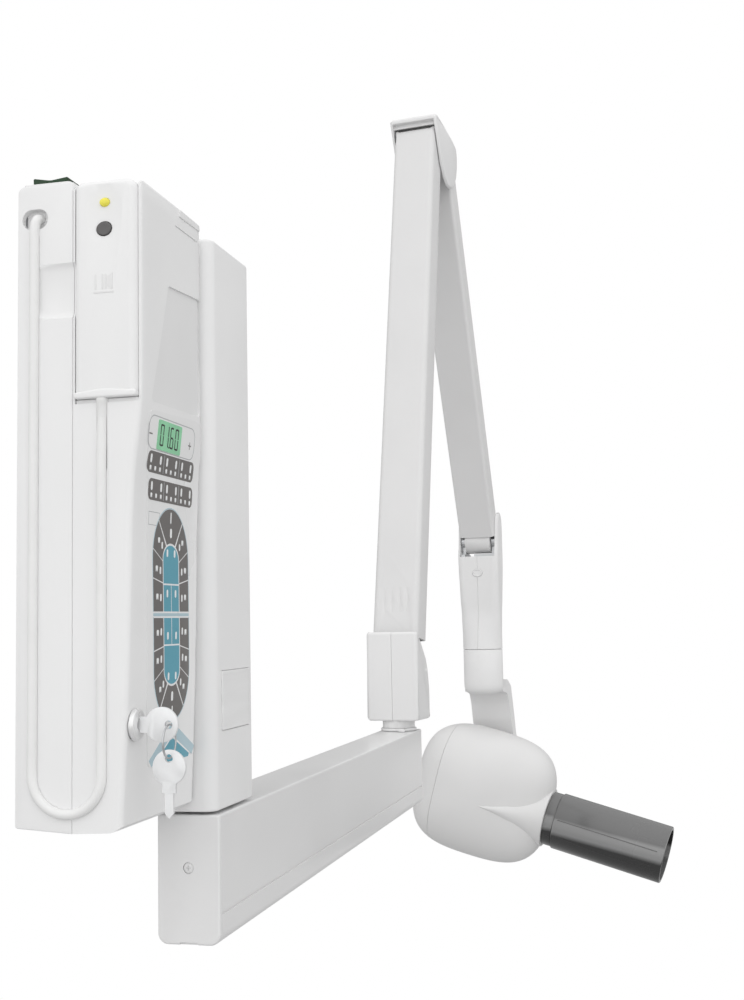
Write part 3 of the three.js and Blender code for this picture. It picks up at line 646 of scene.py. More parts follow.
def rear_shell():
    side = rounded([(-0.6, -1.5, 2), (SEAM + 0.15, -4, 0), (SEAM + 0.15, UNIT_TOP, 0), (-0.6, UNIT_TOP, 4)])
    cuts = [
        block(4, -4.6, 0, 112, 2, 370),
        groove_tool(),
        scoop(),
        prism(rect(-20.5, 354.2, -3.6, 366.8, 6.2), "x", -1, 5),
        prism(rect(5.4, -31.4, 23.6, -5), "z", 372, 390),
    ]
    shaped("rear_shell_moulding", prism(side, "x", 0, UNIT_W, 0.8, 0.8, 3), WALL, HOUSING,
           "wall_unit", "control_rear_shell", cuts, soft=(35, 0.35, 2))


def front_section(z):
    """Plan of the front cover at height z: from the seam round the sloping face and back to the seam."""
    y, r = face_y(z), 3.8
    corner = [math.pi / 14 * (7 - k) for k in range(8)]
    left = [(r - r * math.sin(t), y + r - r * math.cos(t)) for t in corner]
    across = [(x, y) for x in range(10, 91, 10)]
    turn = [TURN_X + (UNIT_W - TURN_X) * math.sin(math.pi / 24 * k) for k in range(1, 13)]
    right = [(x, face_y(z, x)) for x in turn]
    return ring3([(0, SEAM - 0.15), *left, *across, *right, (UNIT_W, SEAM - 0.15)], "z", z)


def front_cover():
    stations = [-8, -2, 4, 10, *range(18, 380, 9), 379, 386]
    front = piece("front_cover_moulding", loft([front_section(z) for z in stations]), WALL, HOUSING)
    profile = rounded([(SEAM + 3, -4, 0), (-62, -3, 9), (-69.5, 1.5, 4), (-82, 12, 0), (-81.2, 379, 10),
                       (-74, 384, 9), (SEAM + 3, 384, 0)], 8)
    brow = [(-2, -10), (112, -10), *((x, hermite(BROW, x)) for x in range(112, -3, -6))]
    pocket = rounded([(-1, -78.4, 0), (28, -78.4, 4), (28, -38.3, 3), (-1, -38.3, 0)])
    carve(front, WALL, prism(profile, "x", -2, 112), how="INTERSECT")
    carve(front, WALL, prism(brow, "y", -90, 0), how="INTERSECT")
    carve(front, WALL,
          prism(pocket, "z", 246, 392),
          block(-2, -84, 247, 1.6, -78, 392),
          groove_tool(),
          scoop(),
          prism(rect(CABLE_Y2 - 3.3, 205, CABLE_Y2 + 3.3, 247.5, 2), "x", -1, 6),
          rod("y", 8.6, -76, -62, (11, 57.5)),
          face_sheet([rounded([(*p, 3) for p in PANEL])], -1.3, 6),
          face_sheet([rect(54, 365.6, 91, 366.8, 0.5)], -0.7, 3))
    soften(front, 35, 0.4, 2)
    stands_for(front, "wall_unit", "control_front_cover")


def cover_details():
    """A slightly darker grey sheet on the panel recess floor as painted shade, the lip over it, and the floor of
    the handset pocket.
    """
    # darker grey sheet over the whole recess floor: painted shade for the recess
    film = face_sheet([rounded([(*p, 3) for p in inset(PANEL, 0.6)])], -1.32, 0.12)
    detail("panel_painted_shade", film, WALL, PIN_GREY_AND_PANEL_SHADE, "wall_unit", "housing")
    lip = rounded([(60, 374, 0.5), (60.8, 378.8, 0.5), (97, 378.2, 2), (97, 374.4, 2)])
    detail("visor_lip", face_sheet([lip], -0.2, 0.9), WALL, HOUSING, "wall_unit", "housing", bevel=0.3)
    liner = prism(rect(0.6, -78.3, 27.4, -38.4, 1.5), "z", 246.05, 248.3)
    detail("pocket_liner", liner, WALL, CAP, "wall_unit", "housing", bevel=0.15)


def mains_switch():
    bezel = prism(rect(2.5, -34, 26.5, -2.5, 2.5), "z", UNIT_TOP + 0.15, UNIT_TOP + 2, 0, 0.8)
    shaped("rocker_bezel", bezel, WALL, CAP, "wall_unit", "switch_bezel",
           [prism(rect(5.5, -31.2, 23.5, -5.4, 1), "z", 375, 392)], soft=(35, 0.2, 2))
    side = rounded([(-7.2, 388.6, 1), (-18.6, 386.4, 14), (-30.4, 387.8, 1), (-29.6, 376, 1), (-18.3, 373, 6),
                    (-7.8, 376, 1)])
    shaped("rocker_cap", prism(side, "x", 6.2, 22.8, 0.7, 0.7, 3), WALL, ROCKER, "rocker", "mains_rocker")
    glow = prism(inset(side, 0.35), "x", 6.0, 6.35)
    detail("rocker_side_glow", glow, WALL, GLOW_GREEN, "rocker", "switch_green")


def oval_hole(ry, rz, y, z):
    return prism(ellipse(y, z, ry, rz, 48), "x", -6, 7)


def oval_turned(profile, n, squash, y, z):
    """A profile turned about x, squashed in height and moved to y, z."""
    bm = turned(profile, n, "x")
    for v in bm.verts:
        v.co.y, v.co.z = v.co.y + y, v.co.z * squash + z
    return bm


def handset():
    outline = rounded([(-38.5, 380.5, 5.2), (-78.2, 380.5, 7), (-78.2, 248.6, 5.2), (-38.5, 248.6, 5.2)], 8)
    foot = rounded([(-38.6, 252.4, 1.5), (-58, 254.2, 30), (-78.1, 252.4, 1.5), (-78.1, 248.6, 1.5),
                    (-38.6, 248.6, 1.5)])
    cuts = [
        ellipsoid((-10.6, -58.2, 361), (9.3, 24, 42)),
        oval_hole(5.15, 4.7, -58.1, 350.2),
        oval_hole(3.4, 2.85, -58.3, 366.4),
    ]
    shaped("handset_face", prism(outline, "x", -2.5, 11, 4.6, 0, 8), WALL, HOUSING,
           "handset", "handset_front", cuts, [prism(foot, "x", -3, 9, 1.2, 0, 4)], (42, 0.35, 3))
    back = prism(outline, "x", 11.25, 26, 0, 3, 5)
    shaped("handset_rear", back, WALL, HOUSING, "handset", "handset_back", soft=(50,))
    lamp = [(0, -3.4), (1.2, -3.3), (2.2, -3.0), (2.9, -2.5), (3.2, -1.9), (3.2, 3), (0, 3)]
    lens = oval_turned(lamp, 32, 0.82, -58.3, 366.4)
    shaped("lamp_lens", lens, WALL, LAMP, "handset", "handset_lamp", soft=(60,))
    button = [(0, -2.5), (2.5, -2.55), (4.1, -2.8), (4.5, -2.7), (4.7, -2.2), (4.7, 4.6), (0, 4.6)]
    key = oval_turned(button, 40, 0.9, -58.1, 350.2)
    shaped("exposure_key", key, WALL, BUTTON, "button", "exposure_button", soft=(60,))
    sleeve = [(0, 237.1), (3.05, 237.1), (3.15, 238), (3.2, 245.5), (3.6, 246.2), (3.6, 248.6), (0, 248.6)]
    boot = turned(sleeve, 28, "z", (0.6, CABLE_Y2))
    shaped("cable_boot", boot, WALL, CABLE, "handset", "strain_relief", soft=(50,))


def grip_mark():
    """Raised mark halfway up the handset: a flared block, three upright bars and a level one under them."""
    mark = bmesh.new()
    flared = [(-63.6, 313), (-63.6, 323), (-60.6, 321), (-60.6, 315)]
    uprights = [rect(y - 0.5, 313.5, y + 0.5, 322.5, 0.4, 2) for y in (-59.2, -57.2, -52.8)]
    for outline in (flared, *uprights, rect(-64.6, 311.2, -51.6, 312.2, 0.4, 2)):
        prism(outline, "x", -2.75, -2.3, bm=mark)
    detail("grip_mark", mark, WALL, CAP, "handset", "housing", 30)


def cable():
    ob = piece("handset_lead", swept(cable_path(), 3.0, 18), WALL, CABLE, sharp=60)
    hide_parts("handset_cable")
    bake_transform(ob)


# ---------- lock and keys ----------
KEY_X, LOCK_Z, BOW_Y, RING_R = 11.0, 57.5, -88.0, 9.6
RING_Y = BOW_Y - 4.6


def key_blank(bow_y, bow_z, hole_z):
    """Round bow lying in the plane x = KEY_X, and the tool that cuts its ring hole."""
    bow = prism(circle(bow_y, bow_z, 10.2, 56), "x", KEY_X - 1.1, KEY_X + 1.1, 0.35, 0.35, 2)
    return bow, rod("x", 2.4, KEY_X - 3, KEY_X + 3, (RING_Y, hole_z), 28)


def lock_body():
    barrel = [(0, -62.7), (3.2, -62.7), (3.2, -74.2), (8.3, -74.2), (8.9, -73.9), (9.2, -73.3), (9.2, -71.2),
              (8, -71.2), (8, -61.2), (0, -61.2)]
    body = turned(barrel, 48, "y", (KEY_X, LOCK_Z))
    stands_for(piece("lock_body", body, WALL, BRIGHT, 35, 0.15, 2), "wall_unit", "lock_barrel")


def inserted_key():
    bow, hole = key_blank(BOW_Y, LOCK_Z, LOCK_Z)
    neck = [(-82, -7.5), (-79, -4.6), (-74.6, -4.6), (-74.6, 4.6), (-79, 4.6), (-82, 7.5)]
    joins = [prism([(y, LOCK_Z + dz) for y, dz in neck], "x", KEY_X - 1.1, KEY_X + 1.1),
             block(KEY_X - 1, -76.5, LOCK_Z - 2.7, KEY_X + 1, -65, LOCK_Z + 2.7)]
    shaped("inserted_key", bow, WALL, KEY_METAL, "key", "lock_key", [hole], joins, (35, 0.15, 2))


def split_ring():
    """Nearly two turns of wire, side by side."""
    centre = Vector((KEY_X, RING_Y, LOCK_Z - RING_R))
    wire = []
    for k in range(118):
        a = math.tau * k / 60
        wire.append(centre + Vector((0.5 * math.sin(a / 2), 0, 0))
                    + Vector((math.cos(a) * RING_R, 0, math.sin(a) * RING_R)))
    shaped("split_ring", swept(wire, 0.5, 12), WALL, STEEL, "key_bunch", "key_ring", soft=(70,))


def hanging_key():
    z = LOCK_Z - 2 * RING_R - 5.2
    bow, hole = key_blank(RING_Y, z, z + 5.2)
    blade = [(BOW_Y - 7.2, z - 13), (BOW_Y - 7.2, z - 26), (RING_Y, z - 29), (BOW_Y - 2, z - 26),
             (BOW_Y - 2, z - 13)]
    joins = [block(KEY_X - 1.1, BOW_Y - 8.7, z - 14.5, KEY_X + 1.1, BOW_Y - 0.5, z - 8),
             prism(blade, "x", KEY_X - 1, KEY_X + 1)]
    shaped("hanging_key", bow, WALL, KEY_METAL, "key_bunch", "spare_key", [hole], joins, (35, 0.12, 2))


# ---------- keypad ----------
FILM_EDGE = [(14, 243), (21, 189), (25.8, 106), (27.7, 71), (33, 31), (60, 26), (97, 27), (100, 34),
             (100, 238), (96, 245), (86, 246)]


def pill(x, z, w, h):
    return rect(x - w / 2, z - h / 2, x + w / 2, z + h / 2, min(w, h) / 2 - 0.05, 4)


def tooth(x, z, size):
    """Small generic tooth: a rounded crown with two roots."""
    s = size / 2
    corners = [(-1, 1, 0.5), (1, 1, 0.5), (0.8, -1, 0.2), (0.3, -1, 0.2)]
    right = [(x + a * s, z + b * s, r * s) for a, b, r in corners]
    left = [(x - a * s, z - s, 0.2 * s) for a in (0.3, 0.8)]
    return rounded([*right, (x, z - 0.2 * s, 0.1), *left], 3)


def digit(x, z, lit_bars):
    """Seven-bar figure with its lower left corner at x, z."""
    w, h, t = 5.4, 13.4, 1.15
    m = h / 2
    bars = {
        "top": (x + t, z + h - t, x + w - t, z + h),
        "mid": (x + t, z + m - t / 2, x + w - t, z + m + t / 2),
        "low": (x + t, z, x + w - t, z + t),
        "ul": (x, z + m + 0.2, x + t, z + h - 0.3),
        "ur": (x + w - t, z + m + 0.2, x + w, z + h - 0.3),
        "ll": (x, z + 0.3, x + t, z + m - 0.2),
        "lr": (x + w - t, z + 0.3, x + w, z + m - 0.2),
    }
    return [rect(*bars[b]) for b in lit_bars]


ZERO = ("top", "low", "ul", "ur", "ll", "lr")
SIX = ("top", "mid", "low", "ul", "ll", "lr")
ONE = ("ur", "lr")


def print_layer(name, outlines, material, proud, thick, slot="keypad_film"):
    detail(name, face_sheet(outlines, proud, thick), WALL, material, "wall_unit", slot, 30)


# the long leaning oval on the keypad: its middle, lean, and half the length of its straight sides
ARCH_X, ARCH_Z, ARCH_LEAN, ARCH_STRAIGHT = 62.8, 121.1, -0.075, 34.0
# half width, and height of the elliptic cap
ARCH_OUTER, ARCH_INNER = (28.0, 31.4), (13.4, 10.2)


def arch_point(dx, dz):
    """Point on the control face, given from the middle of the leaning oval."""
    return ARCH_X + dx + ARCH_LEAN * dz, ARCH_Z + dz


def on_arch(outline, up=1, side=1):
    """Outline given from the middle of the leaning oval, mirrored where up or side is -1."""
    return [arch_point(side * dx, up * dz) for dx, dz in outline]


def arch_side(oval_size, z0, z1, n=10):
    """Right edge of the long oval from height z0 to z1 above its middle: straight, then an elliptic cap."""
    half, cap = oval_size
    heights = [z0 + (z1 - z0) * k / n for k in range(n + 1)]
    return [(half * math.sqrt(max(0.0, 1 - (max(0.0, z - ARCH_STRAIGHT) / cap) ** 2)), z) for z in heights]


def arch_top(oval_size, z0, n=18):
    """Cap of the long oval above height z0, right to left."""
    half, cap = oval_size
    a = math.asin((z0 - ARCH_STRAIGHT) / cap)
    angles = [a + (math.pi - 2 * a) * k / n for k in range(n + 1)]
    return [(half * math.cos(t), ARCH_STRAIGHT + cap * math.sin(t)) for t in angles]


def arch_keys():
    """Fourteen key areas round the oval, and the six teal areas inside it."""
    keys, teal = [], []
    splits = [(1.6, 1.6), (22.1, 19.5), (39.9, 33.1), (57.4, 42.6)]
    inner = (ARCH_INNER[0] - 1.3, ARCH_INNER[1] - 1.3)
    middle = [(0.4, 2), (inner[0], 2), (inner[0], 18.2), (0.4, 18.2)]
    for up in (1, -1):
        for side in (1, -1):
            for (o0, i0), (o1, i1) in zip(splits, splits[1:]):
                far = arch_side(ARCH_OUTER, o0 + 0.4, o1 - 0.4)
                near = arch_side(ARCH_INNER, i0 + 0.4, i1 - 0.4)
                keys.append(on_arch(far + near[::-1], up, side))
            teal.append(on_arch(middle, up, side))
        keys.append(on_arch(arch_top(ARCH_OUTER, 57.8) + arch_top(ARCH_INNER, 43.0)[::-1], up))
        teal.append(on_arch([(inner[0], 19.2), *arch_top(inner, 34.01), (-inner[0], 19.2)], up))
    return keys, teal


def arch_icons():
    """Teeth and pills on the key areas of the oval."""
    icons = []
    pills = ((17, 10.4, 2.3, 4.6), (17.2, 27, 2.3, 4.6), (14, 42.4, 2.2, 4.4), (5.8, 38, 2.4, 4.8),
             (6.6, 13, 2.4, 4.8))
    for up in (1, -1):
        for side in (1, -1):
            for dx, dz, size in ((22.4, 11, 3.6), (22.8, 28, 3.6), (18.8, 45.4, 3.4)):
                icons.append(tooth(*arch_point(side * dx, up * dz), size))
            for dx, dz, w, h in pills:
                icons.append(pill(*arch_point(side * dx, up * dz), w, h))
        for dz, w, h in ((60, 1.6, 7), (50.5, 3, 6)):
            icons.append(pill(*arch_point(0, up * dz), w, h))
    return icons


def display():
    glass = face_sheet([rect(28, 220.8, 64.5, 238.9, 1)], 0.35, 0.45)
    shaped("display_glass", glass, WALL, LCD, "wall_unit", "display_window", soft=(30,))
    bars = []
    for x, lit_bars in ((31.3, ZERO), (39, ONE), (46.6, SIX), (54.4, ZERO)):
        bars += digit(x, 223.2, lit_bars)
    point = rect(45, 223.2, 46, 224.2)
    print_layer("display_figures", [*bars, point], INK, 0.8, 0.04, "display")


def key_rows():
    """The two wide keys under the display: their areas, icons and dividing lines."""
    keys, icons, splits = [], [], []
    for x0, x1, z0, z1 in ((17.5, 90.5, 206.3, 219.2), (21.5, 92, 190, 203)):
        keys.append(rect(x0, z0, x1, z1, 4))
        third, mid = (x1 - x0) / 3, (z0 + z1) / 2
        for k in range(3):
            x = x0 + third * k
            icons += [pill(x + 4.8, mid + 2, 2.6, 5.4), pill(x + 19.2, mid + 2, 2.6, 5.4)]
            icons += [tooth(x + at, mid - 3.6, 2.8) for at in (4.8, 12, 19.2)]
            if k:
                splits.append(rect(x - 0.3, z0 + 0.8, x + 0.3, z1 - 0.8))
    return keys, icons, splits


def thin_lines():
    """The rounded frame round the display, in two halves, and a small square-cornered frame below it."""
    outer, inner = rect(14.5, 220, 88, 240.6, 7), rect(15.1, 220.6, 87.4, 240, 6.4)
    half = len(outer) // 2
    return [
        outer[:half + 1] + inner[:half + 1][::-1],
        outer[half:] + outer[:1] + inner[:1] + inner[half:][::-1],
        rect(24, 174.9, 41, 175.3), rect(24, 182.7, 41, 183.1),
        rect(24, 175.3, 24.4, 182.7), rect(40.6, 175.3, 41, 182.7),
    ]


def keypad():
    film = face_sheet([rounded([(*p, 4) for p in FILM_EDGE])], 0.02, 0.4)
    shaped("keypad_overlay", film, WALL, FILM, "wall_unit", "keypad_membrane", soft=(30,))
    display()
    keys, icons, splits = key_rows()
    arch, teal = arch_keys()
    marks = [rect(15.6, 228.6, 20.4, 229.4), rect(77.6, 228.6, 82.4, 229.4), rect(79.6, 226.6, 80.4, 231.4)]
    rim = [(28.9, 1.6), *arch_top((28.9, 32.3), 34.01, 24), (-28.9, 1.6), (-28.2, 1.6),
           *arch_top((28.2, 31.6), 34.01, 24)[::-1], (28.2, 1.6)]
    blue = [on_arch([(-28.6, -0.9), (28.6, -0.9), (28.6, 0.9), (-28.6, 0.9)]),
            [(34, 34), (38.5, 30), (69, 46.5), (103, 31.5), (107, 36.5), (69, 54.8)],
            on_arch(rim), on_arch(rim, -1)]
    teal.append([(43, 30.5), (97, 30.5), (98.4, 32.4), (69, 45), (42.6, 31.2)])
    print_layer("keypad_keys", keys + arch, KEY_GREY, 0.4, 0.16)
    print_layer("keypad_icons", icons + arch_icons(), WHITE_PRINT, 0.5, 0.12)
    print_layer("keypad_splits", splits, LINE_GREY, 0.5, 0.1)
    print_layer("keypad_marks", marks, KEY_GREY, 0.4, 0.06)
    print_layer("keypad_lines", thin_lines(), LINE_GREY, 0.4, 0.06)
    print_layer("keypad_teal_areas", teal, TEAL, 0.36, 0.1)
    print_layer("keypad_blue_areas", blue, PALE_BLUE, 0.38, 0.1)


# ---------- wall plate, hinge and power box ----------
# x from and to, how far out the box stands, z from and to
BOX = (110.3, 188.0, -83.0, -7.0, 375.0)


def power_box():
    x0, x1, y, z0, z1 = BOX
    plan = rounded([(x0, -0.3, 0), (x0, y, 9), (x1, y, 5), (x1, -0.3, 0)], 10)
    hollow = rounded([(x0 + 2.6, 3, 0), (x0 + 2.6, y + 2.6, 6), (x1 - 2.6, y + 2.6, 3), (x1 - 2.6, 3, 0)])
    cuts = [
        prism(hollow, "z", z0 + 2.6, z1 - 2.6),
        block(105, -4.5, 1, 115, 1, 369),
        rod("z", 17, -10, 0, (150, -63.5), 56),
        prism(rect(124, 44, 180, 84, 1.6), "y", -84, -82),
    ]
    shaped("power_box_cover", prism(plan, "z", z0, z1, 1.6, 2.4, 5), WALL, HOUSING,
           "wall_unit", "power_cover", cuts, soft=(35, 0.3, 2))
    badge = prism(rect(124.5, 44.5, 179.5, 83.5, 1.4), "y", -83.6, -82.3, 0.3, 0, 3)
    field = prism(rect(127, 47, 177, 81, 1), "y", -85, -83.5)
    shaped("blank_badge", badge, WALL, BADGE, "wall_unit", "badge_plate", [field], soft=(35, 0.08, 2))
    refined("hinge_block", PAINT_DARK, 0.8)
    refined("wall_plate", STEEL, 0.4, sharp=35)


# ---------- extension arm ----------
# ends, middle line, width, and the heights of the top and the underside
ARM_X0, ARM_X1, ARM_Y, ARM_W, ARM_TOP, ARM_LOW = 112.0, 773.0, -63.5, 43.0, -9.0, -92.0


def arm_outline(d=0.0):
    """Section of the extension arm, moved inwards by d."""
    y0, y1 = ARM_Y - ARM_W / 2 + d, ARM_Y + ARM_W / 2 - d
    low, top = (ARM_LOW + d, 7 - d), (ARM_TOP - d, 1.6)
    return rounded([(y0, *low), (y1, *low), (y1, *top), (y0, *top)], 8)


def arm_beam():
    cuts = [prism(arm_outline(3), "x", ARM_X0, ARM_X1)]
    for y in (ARM_Y - ARM_W / 2, ARM_Y + ARM_W / 2):
        cuts.append(block(ARM_X0 - 5, y - 0.9, -73, ARM_X1 + 5, y + 0.9, -71.4))
    for x in (150, 752):
        cuts.append(rod("z", 13.3, ARM_TOP - 5, 0, (x, ARM_Y), 48))
    shaped("arm_beam", prism(arm_outline(), "x", ARM_X0 + 4, ARM_X1 - 4), WALL, PAINT,
           "extension_arm", "arm_extrusion", cuts, soft=(32, 0.25, 2))


def arm_ends():
    """The near cap with its cross-head screw, and the far cap."""
    screw_at = (ARM_Y, -43)
    notch = rect(ARM_Y - 6.5, ARM_LOW - 6, ARM_Y + 6.5, ARM_LOW + 1.8, 1.6)
    shaped("end_cap", prism(arm_outline(), "x", ARM_X0, ARM_X0 + 3.7, 1.5, 0.2, 6), WALL, CAP,
           "extension_arm", "arm_end_cap",
           [rod("x", 3.7, ARM_X0 - 1, ARM_X0 + 2.6, screw_at), prism(notch, "x", ARM_X0 - 1, ARM_X0 + 2.4)],
           soft=(32, 0.3, 3))
    far = prism(arm_outline(), "x", ARM_X1 - 3.7, ARM_X1, 0.2, 1.1, 5)
    shaped("far_cap", far, WALL, CAP, "extension_arm", "arm_far_cap", soft=(50,))
    head = [(0, 0.1), (2.2, 0.15), (3.1, 0.4), (3.55, 0.9), (3.55, 2.4), (0, 2.4)]
    cross = [block(ARM_X0 - 1, ARM_Y - dy, -43 - dz, ARM_X0 + 0.9, ARM_Y + dy, -43 + dz)
             for dy, dz in ((0.3, 1.6), (1.6, 0.3))]
    shaped("cross_head_screw", turned([(r, ARM_X0 + h) for r, h in head], 36, "x", screw_at), WALL, CAP,
           "extension_arm", "cap_screw", cross, soft=(35, 0.08, 2))


def extension_arm():
    """The horizontal arm, with its spindle at the wall and the socket for the column."""
    arm_beam()
    arm_ends()
    refined("swing_spindle", STEEL, 0.4)
    refined("column_socket", PAINT, 0.8)


# ---------- collar round the column ----------
# side view, with the radius of each corner
COLLAR = [(-21, 3, 2.2), (24, 3, 2.2), (24, 36, 10), (20, 58, 14), (14, 72, 8), (-4, 92, 8), (-21, 107.5, 4)]


def collar():
    outline = rounded(COLLAR, 6)
    for name, node, ends, rounds, inner in (
            ("collar_far", "collar_left", (0.12, 30.4), (0.3, 4.6), (-5, 27.6)),
            ("collar_near", "collar_right", (-30.4, -0.12), (4.6, 0.3), (-27.6, 5))):
        cuts = [prism(rect(-19, 5.6, 21.4, 125), "y", *inner), prism(rect(8, 36, 34, 125), "y", *inner),
                rod("z", 19.2, 0, 8, (0, 0), 48)]
        shaped(name, prism(outline, "y", *ends, *rounds, 7), SCISSOR, PAINT, "column", node, cuts,
               soft=(35, 0.12, 2))
    plug = [(0, -31.0), (1.6, -31.0), (2.3, -30.7), (2.5, -30.2), (2.5, -29), (0, -29)]
    detail("collar_plug", turned(plug, 28, "y", (11, 58)), SCISSOR, CAP, "column", "arm_paint")
    refined("column_yoke", PAINT, 0.6)


# ---------- scissor arm tubes ----------
def tapered(outline, z0, z1, k0, k1, steps=12):
    """Tube section swept along an arm, its width scaled from k0 to k1."""
    rings = []
    for i in range(steps + 1):
        k = k0 + (k1 - k0) * i / steps
        z = z0 + (z1 - z0) * i / steps
        rings.append([(x, y * k, z) for x, y in outline])
    return loft(rings)


def round_end(r, z, t, up=1):
    """Everything past a pivot at z except the half round of radius r about it."""
    half_turn = [math.pi * i / 24 for i in range(25)]
    arc = [(r * math.cos(a), z + up * r * math.sin(a)) for a in half_turn]
    past, far, side = 60, z + up * 80, t / 2 + 0.5
    outline = [(-past, far), (past, far), (past, z), (side, z), *arc, (-side, z), (-past, z)]
    return prism(outline, "y", -past, past)


def grip_cuts():
    """Four soft grooves along the arm, each bowing away from the arm's middle line."""
    cuts = []
    for y, bow in ((-11, -3), (-3.4, -1.5), (3.4, 1.5), (11, 3)):
        steps = [i / 8 - 1 for i in range(17)]
        path = [(-20.9 - 0.7 * u * u, y + bow * (1 - u * u), 86 + 20 * u) for u in steps]
        cuts.append(swept(path, 3.4, 24))
    return cuts


def lower_arm():
    cuts = [
        tapered(rect(-15.6, -24.1, 15.6, 24.1, 3.6, 4), 40, L1 + 15, 1.02, 0.985),
        round_end(18, L1, 36),
        rod("y", 6.3, -40, 0, (0, L1)),
        rod("y", 16.6, 21, 40, (0, L1)),
        *grip_cuts(),
    ]
    tube = tapered(rect(-18, -26.5, 18, 26.5, 6, 8), 44, L1 + 30, 1.02, 0.985)
    shaped("lower_arm_casing", tube, LOWER, PAINT_DARK, "lower_arm", "lower_arm_tube", cuts,
           soft=(38, 0.5, 3))


def hood_ring(side, y):
    """Section of the elbow hood at y: drawn in near the rims, with its back bowed inwards off the middle."""
    half = 30.6
    drawn_in = {half: 2.6, 30.2: 1.5, 29.2: 0.6, 27.4: 0.1}.get(abs(y), 0.0)
    crown = (y / half) ** 2
    ring = []
    for x, w, z in ring3(inset(side, drawn_in), "y", y):
        sag = crown * 10 * math.sin(math.pi * clamp((x - 104) / 83)) * clamp((z - 705) / 25)
        ring.append((x, w, z - sag))
    return ring


def elbow():
    side = rounded([(99.5, 737.6, 0), (99.5, 741, 1), (104, 744.5, 3), (120, 748.5, 30), (136, 749, 30),
                    (152, 746, 30), (170, 739, 30), (186, 728, 10), (189.5, 716, 10), (188.5, 700, 20),
                    (183, 684, 20), (172, 671, 16), (158, 664.5, 10), (146, 665, 6), (134, 672, 0),
                    (121, 687, 0)], 6)
    inner = [(90, 690), (90, 737.4), (122, 737.4), (136, 735), (150, 729), (168, 723), (200, 723), (200, 650),
             (90, 650)]
    steps = [-30.6, -30.2, -29.2, -27.4, -24, -18, -12, -6]
    stations = [*steps, 0.0, *(-v for v in reversed(steps))]
    cover = piece("elbow_hood", loft([hood_ring(side, y) for y in stations]), SCISSOR, CAP)
    carve(cover, SCISSOR, prism(inner, "y", -27.2, 27.2))
    brow = prism([(105.1, 732), (108.8, 732.2), (111.4, 742), (107, 742)], "y", -28, 28)
    pivots = ((120.7, 717), (172, 705))
    studs = [rod("y", 1.6, 8, 28.6, (x + dx, z + dz), 20)
             for (x, z), (dx, dz) in zip(pivots, ((-7.55, 5.25), (6.05, 6.93)))]
    carve(cover, SCISSOR, *studs, brow, how="UNION")
    carve(cover, SCISSOR, *[rod("y", 6.3, -28.8, 28.8, at) for at in pivots])
    soften(cover, 38, 0.4, 3)
    stands_for(cover, "elbow", "elbow_cover")


def upper_arm():
    refined("upper_arm_tongue", PAINT_DARK, 0.6)
    outline = rect(-15, -26.5, 15, 26.5, 4, 8)
    for name, node, lo, hi in (("upper_arm_back", "upper_arm_channel", 2.8, 60),
                               ("upper_arm_front", "upper_arm_cover", -60, 3.2)):
        cuts = [
            tapered(rect(-12.6, -24.1, 12.6, 24.1, 2.4, 4), -13.2, L2 - 5, 1, 0.915),
            round_end(15, 0, 30, -1),
            rod("y", 6.3, -40, 0, (0, 0)),
            rod("y", 13.4, 21, 40, (0, 0)),
            block(lo, -60, -60, hi, 60, L2),
        ]
        shaped(name, tapered(outline, -30, L2 - 11.2, 1, 0.915), UPPER, PAINT_DARK, "upper_arm", node, cuts,
               soft=(38, 0.45, 3))


# ---------- wrist and yoke ----------
WRIST_NEAR = [(73, 329.2), (100, 334), (130, 338), (201, 338), (214, 341), (240, 344), (256, 348),
              (261.9, 356)]
WRIST_FAR = [(73, 382.8), (100, 378), (130, 374), (236, 374), (254, 372), (260, 367), (261.9, 358)]
HUB_S, YOKE_PIN = 356.0, (3, -123)


def ray_outline(outline, cx, cy, angles):
    """Points where rays from a centre meet a convex outline."""
    out = []
    pairs = list(zip(outline, outline[1:] + outline[:1]))
    for a in angles:
        c, s = math.cos(a), math.sin(a)
        best = 0.0
        for (x0, y0), (x1, y1) in pairs:
            ex, ey = x1 - x0, y1 - y0
            det = ex * s - ey * c
            if abs(det) < 1e-9:
                continue
            t = (ex * (y0 - cy) - ey * (x0 - cx)) / det
            u = (c * (y0 - cy) - s * (x0 - cx)) / det
            if t > 0 and -1e-6 <= u <= 1 + 1e-6:
                best = max(best, t)
        out.append((cx + c * best, cy + s * best))
    return out


def wrist_ring(z):
    """Section of the wrist at height z: square above, turning into an ellipse towards its lower end."""
    near, far = hermite(WRIST_NEAR, z), hermite(WRIST_FAR, z)
    centre, half = (near + far) / 2, (far - near) / 2
    up = clamp((z - 120) / 70)
    wide = 27.3 + 1.2 * up
    box = rect(near, -wide, far, wide, min(13.0 - 7 * up, (far - near) * 0.36), 6)
    angles = [math.tau * (k + 0.5) / 96 for k in range(96)]
    square = ray_outline(box, centre, 0, angles)
    oval = [(centre + half * math.cos(a), 27.2 * math.sin(a)) for a in angles]
    t = smooth((z - 78) / 62)
    return [(a[0] * t + b[0] * (1 - t), a[1] * t + b[1] * (1 - t), z) for a, b in zip(square, oval)]


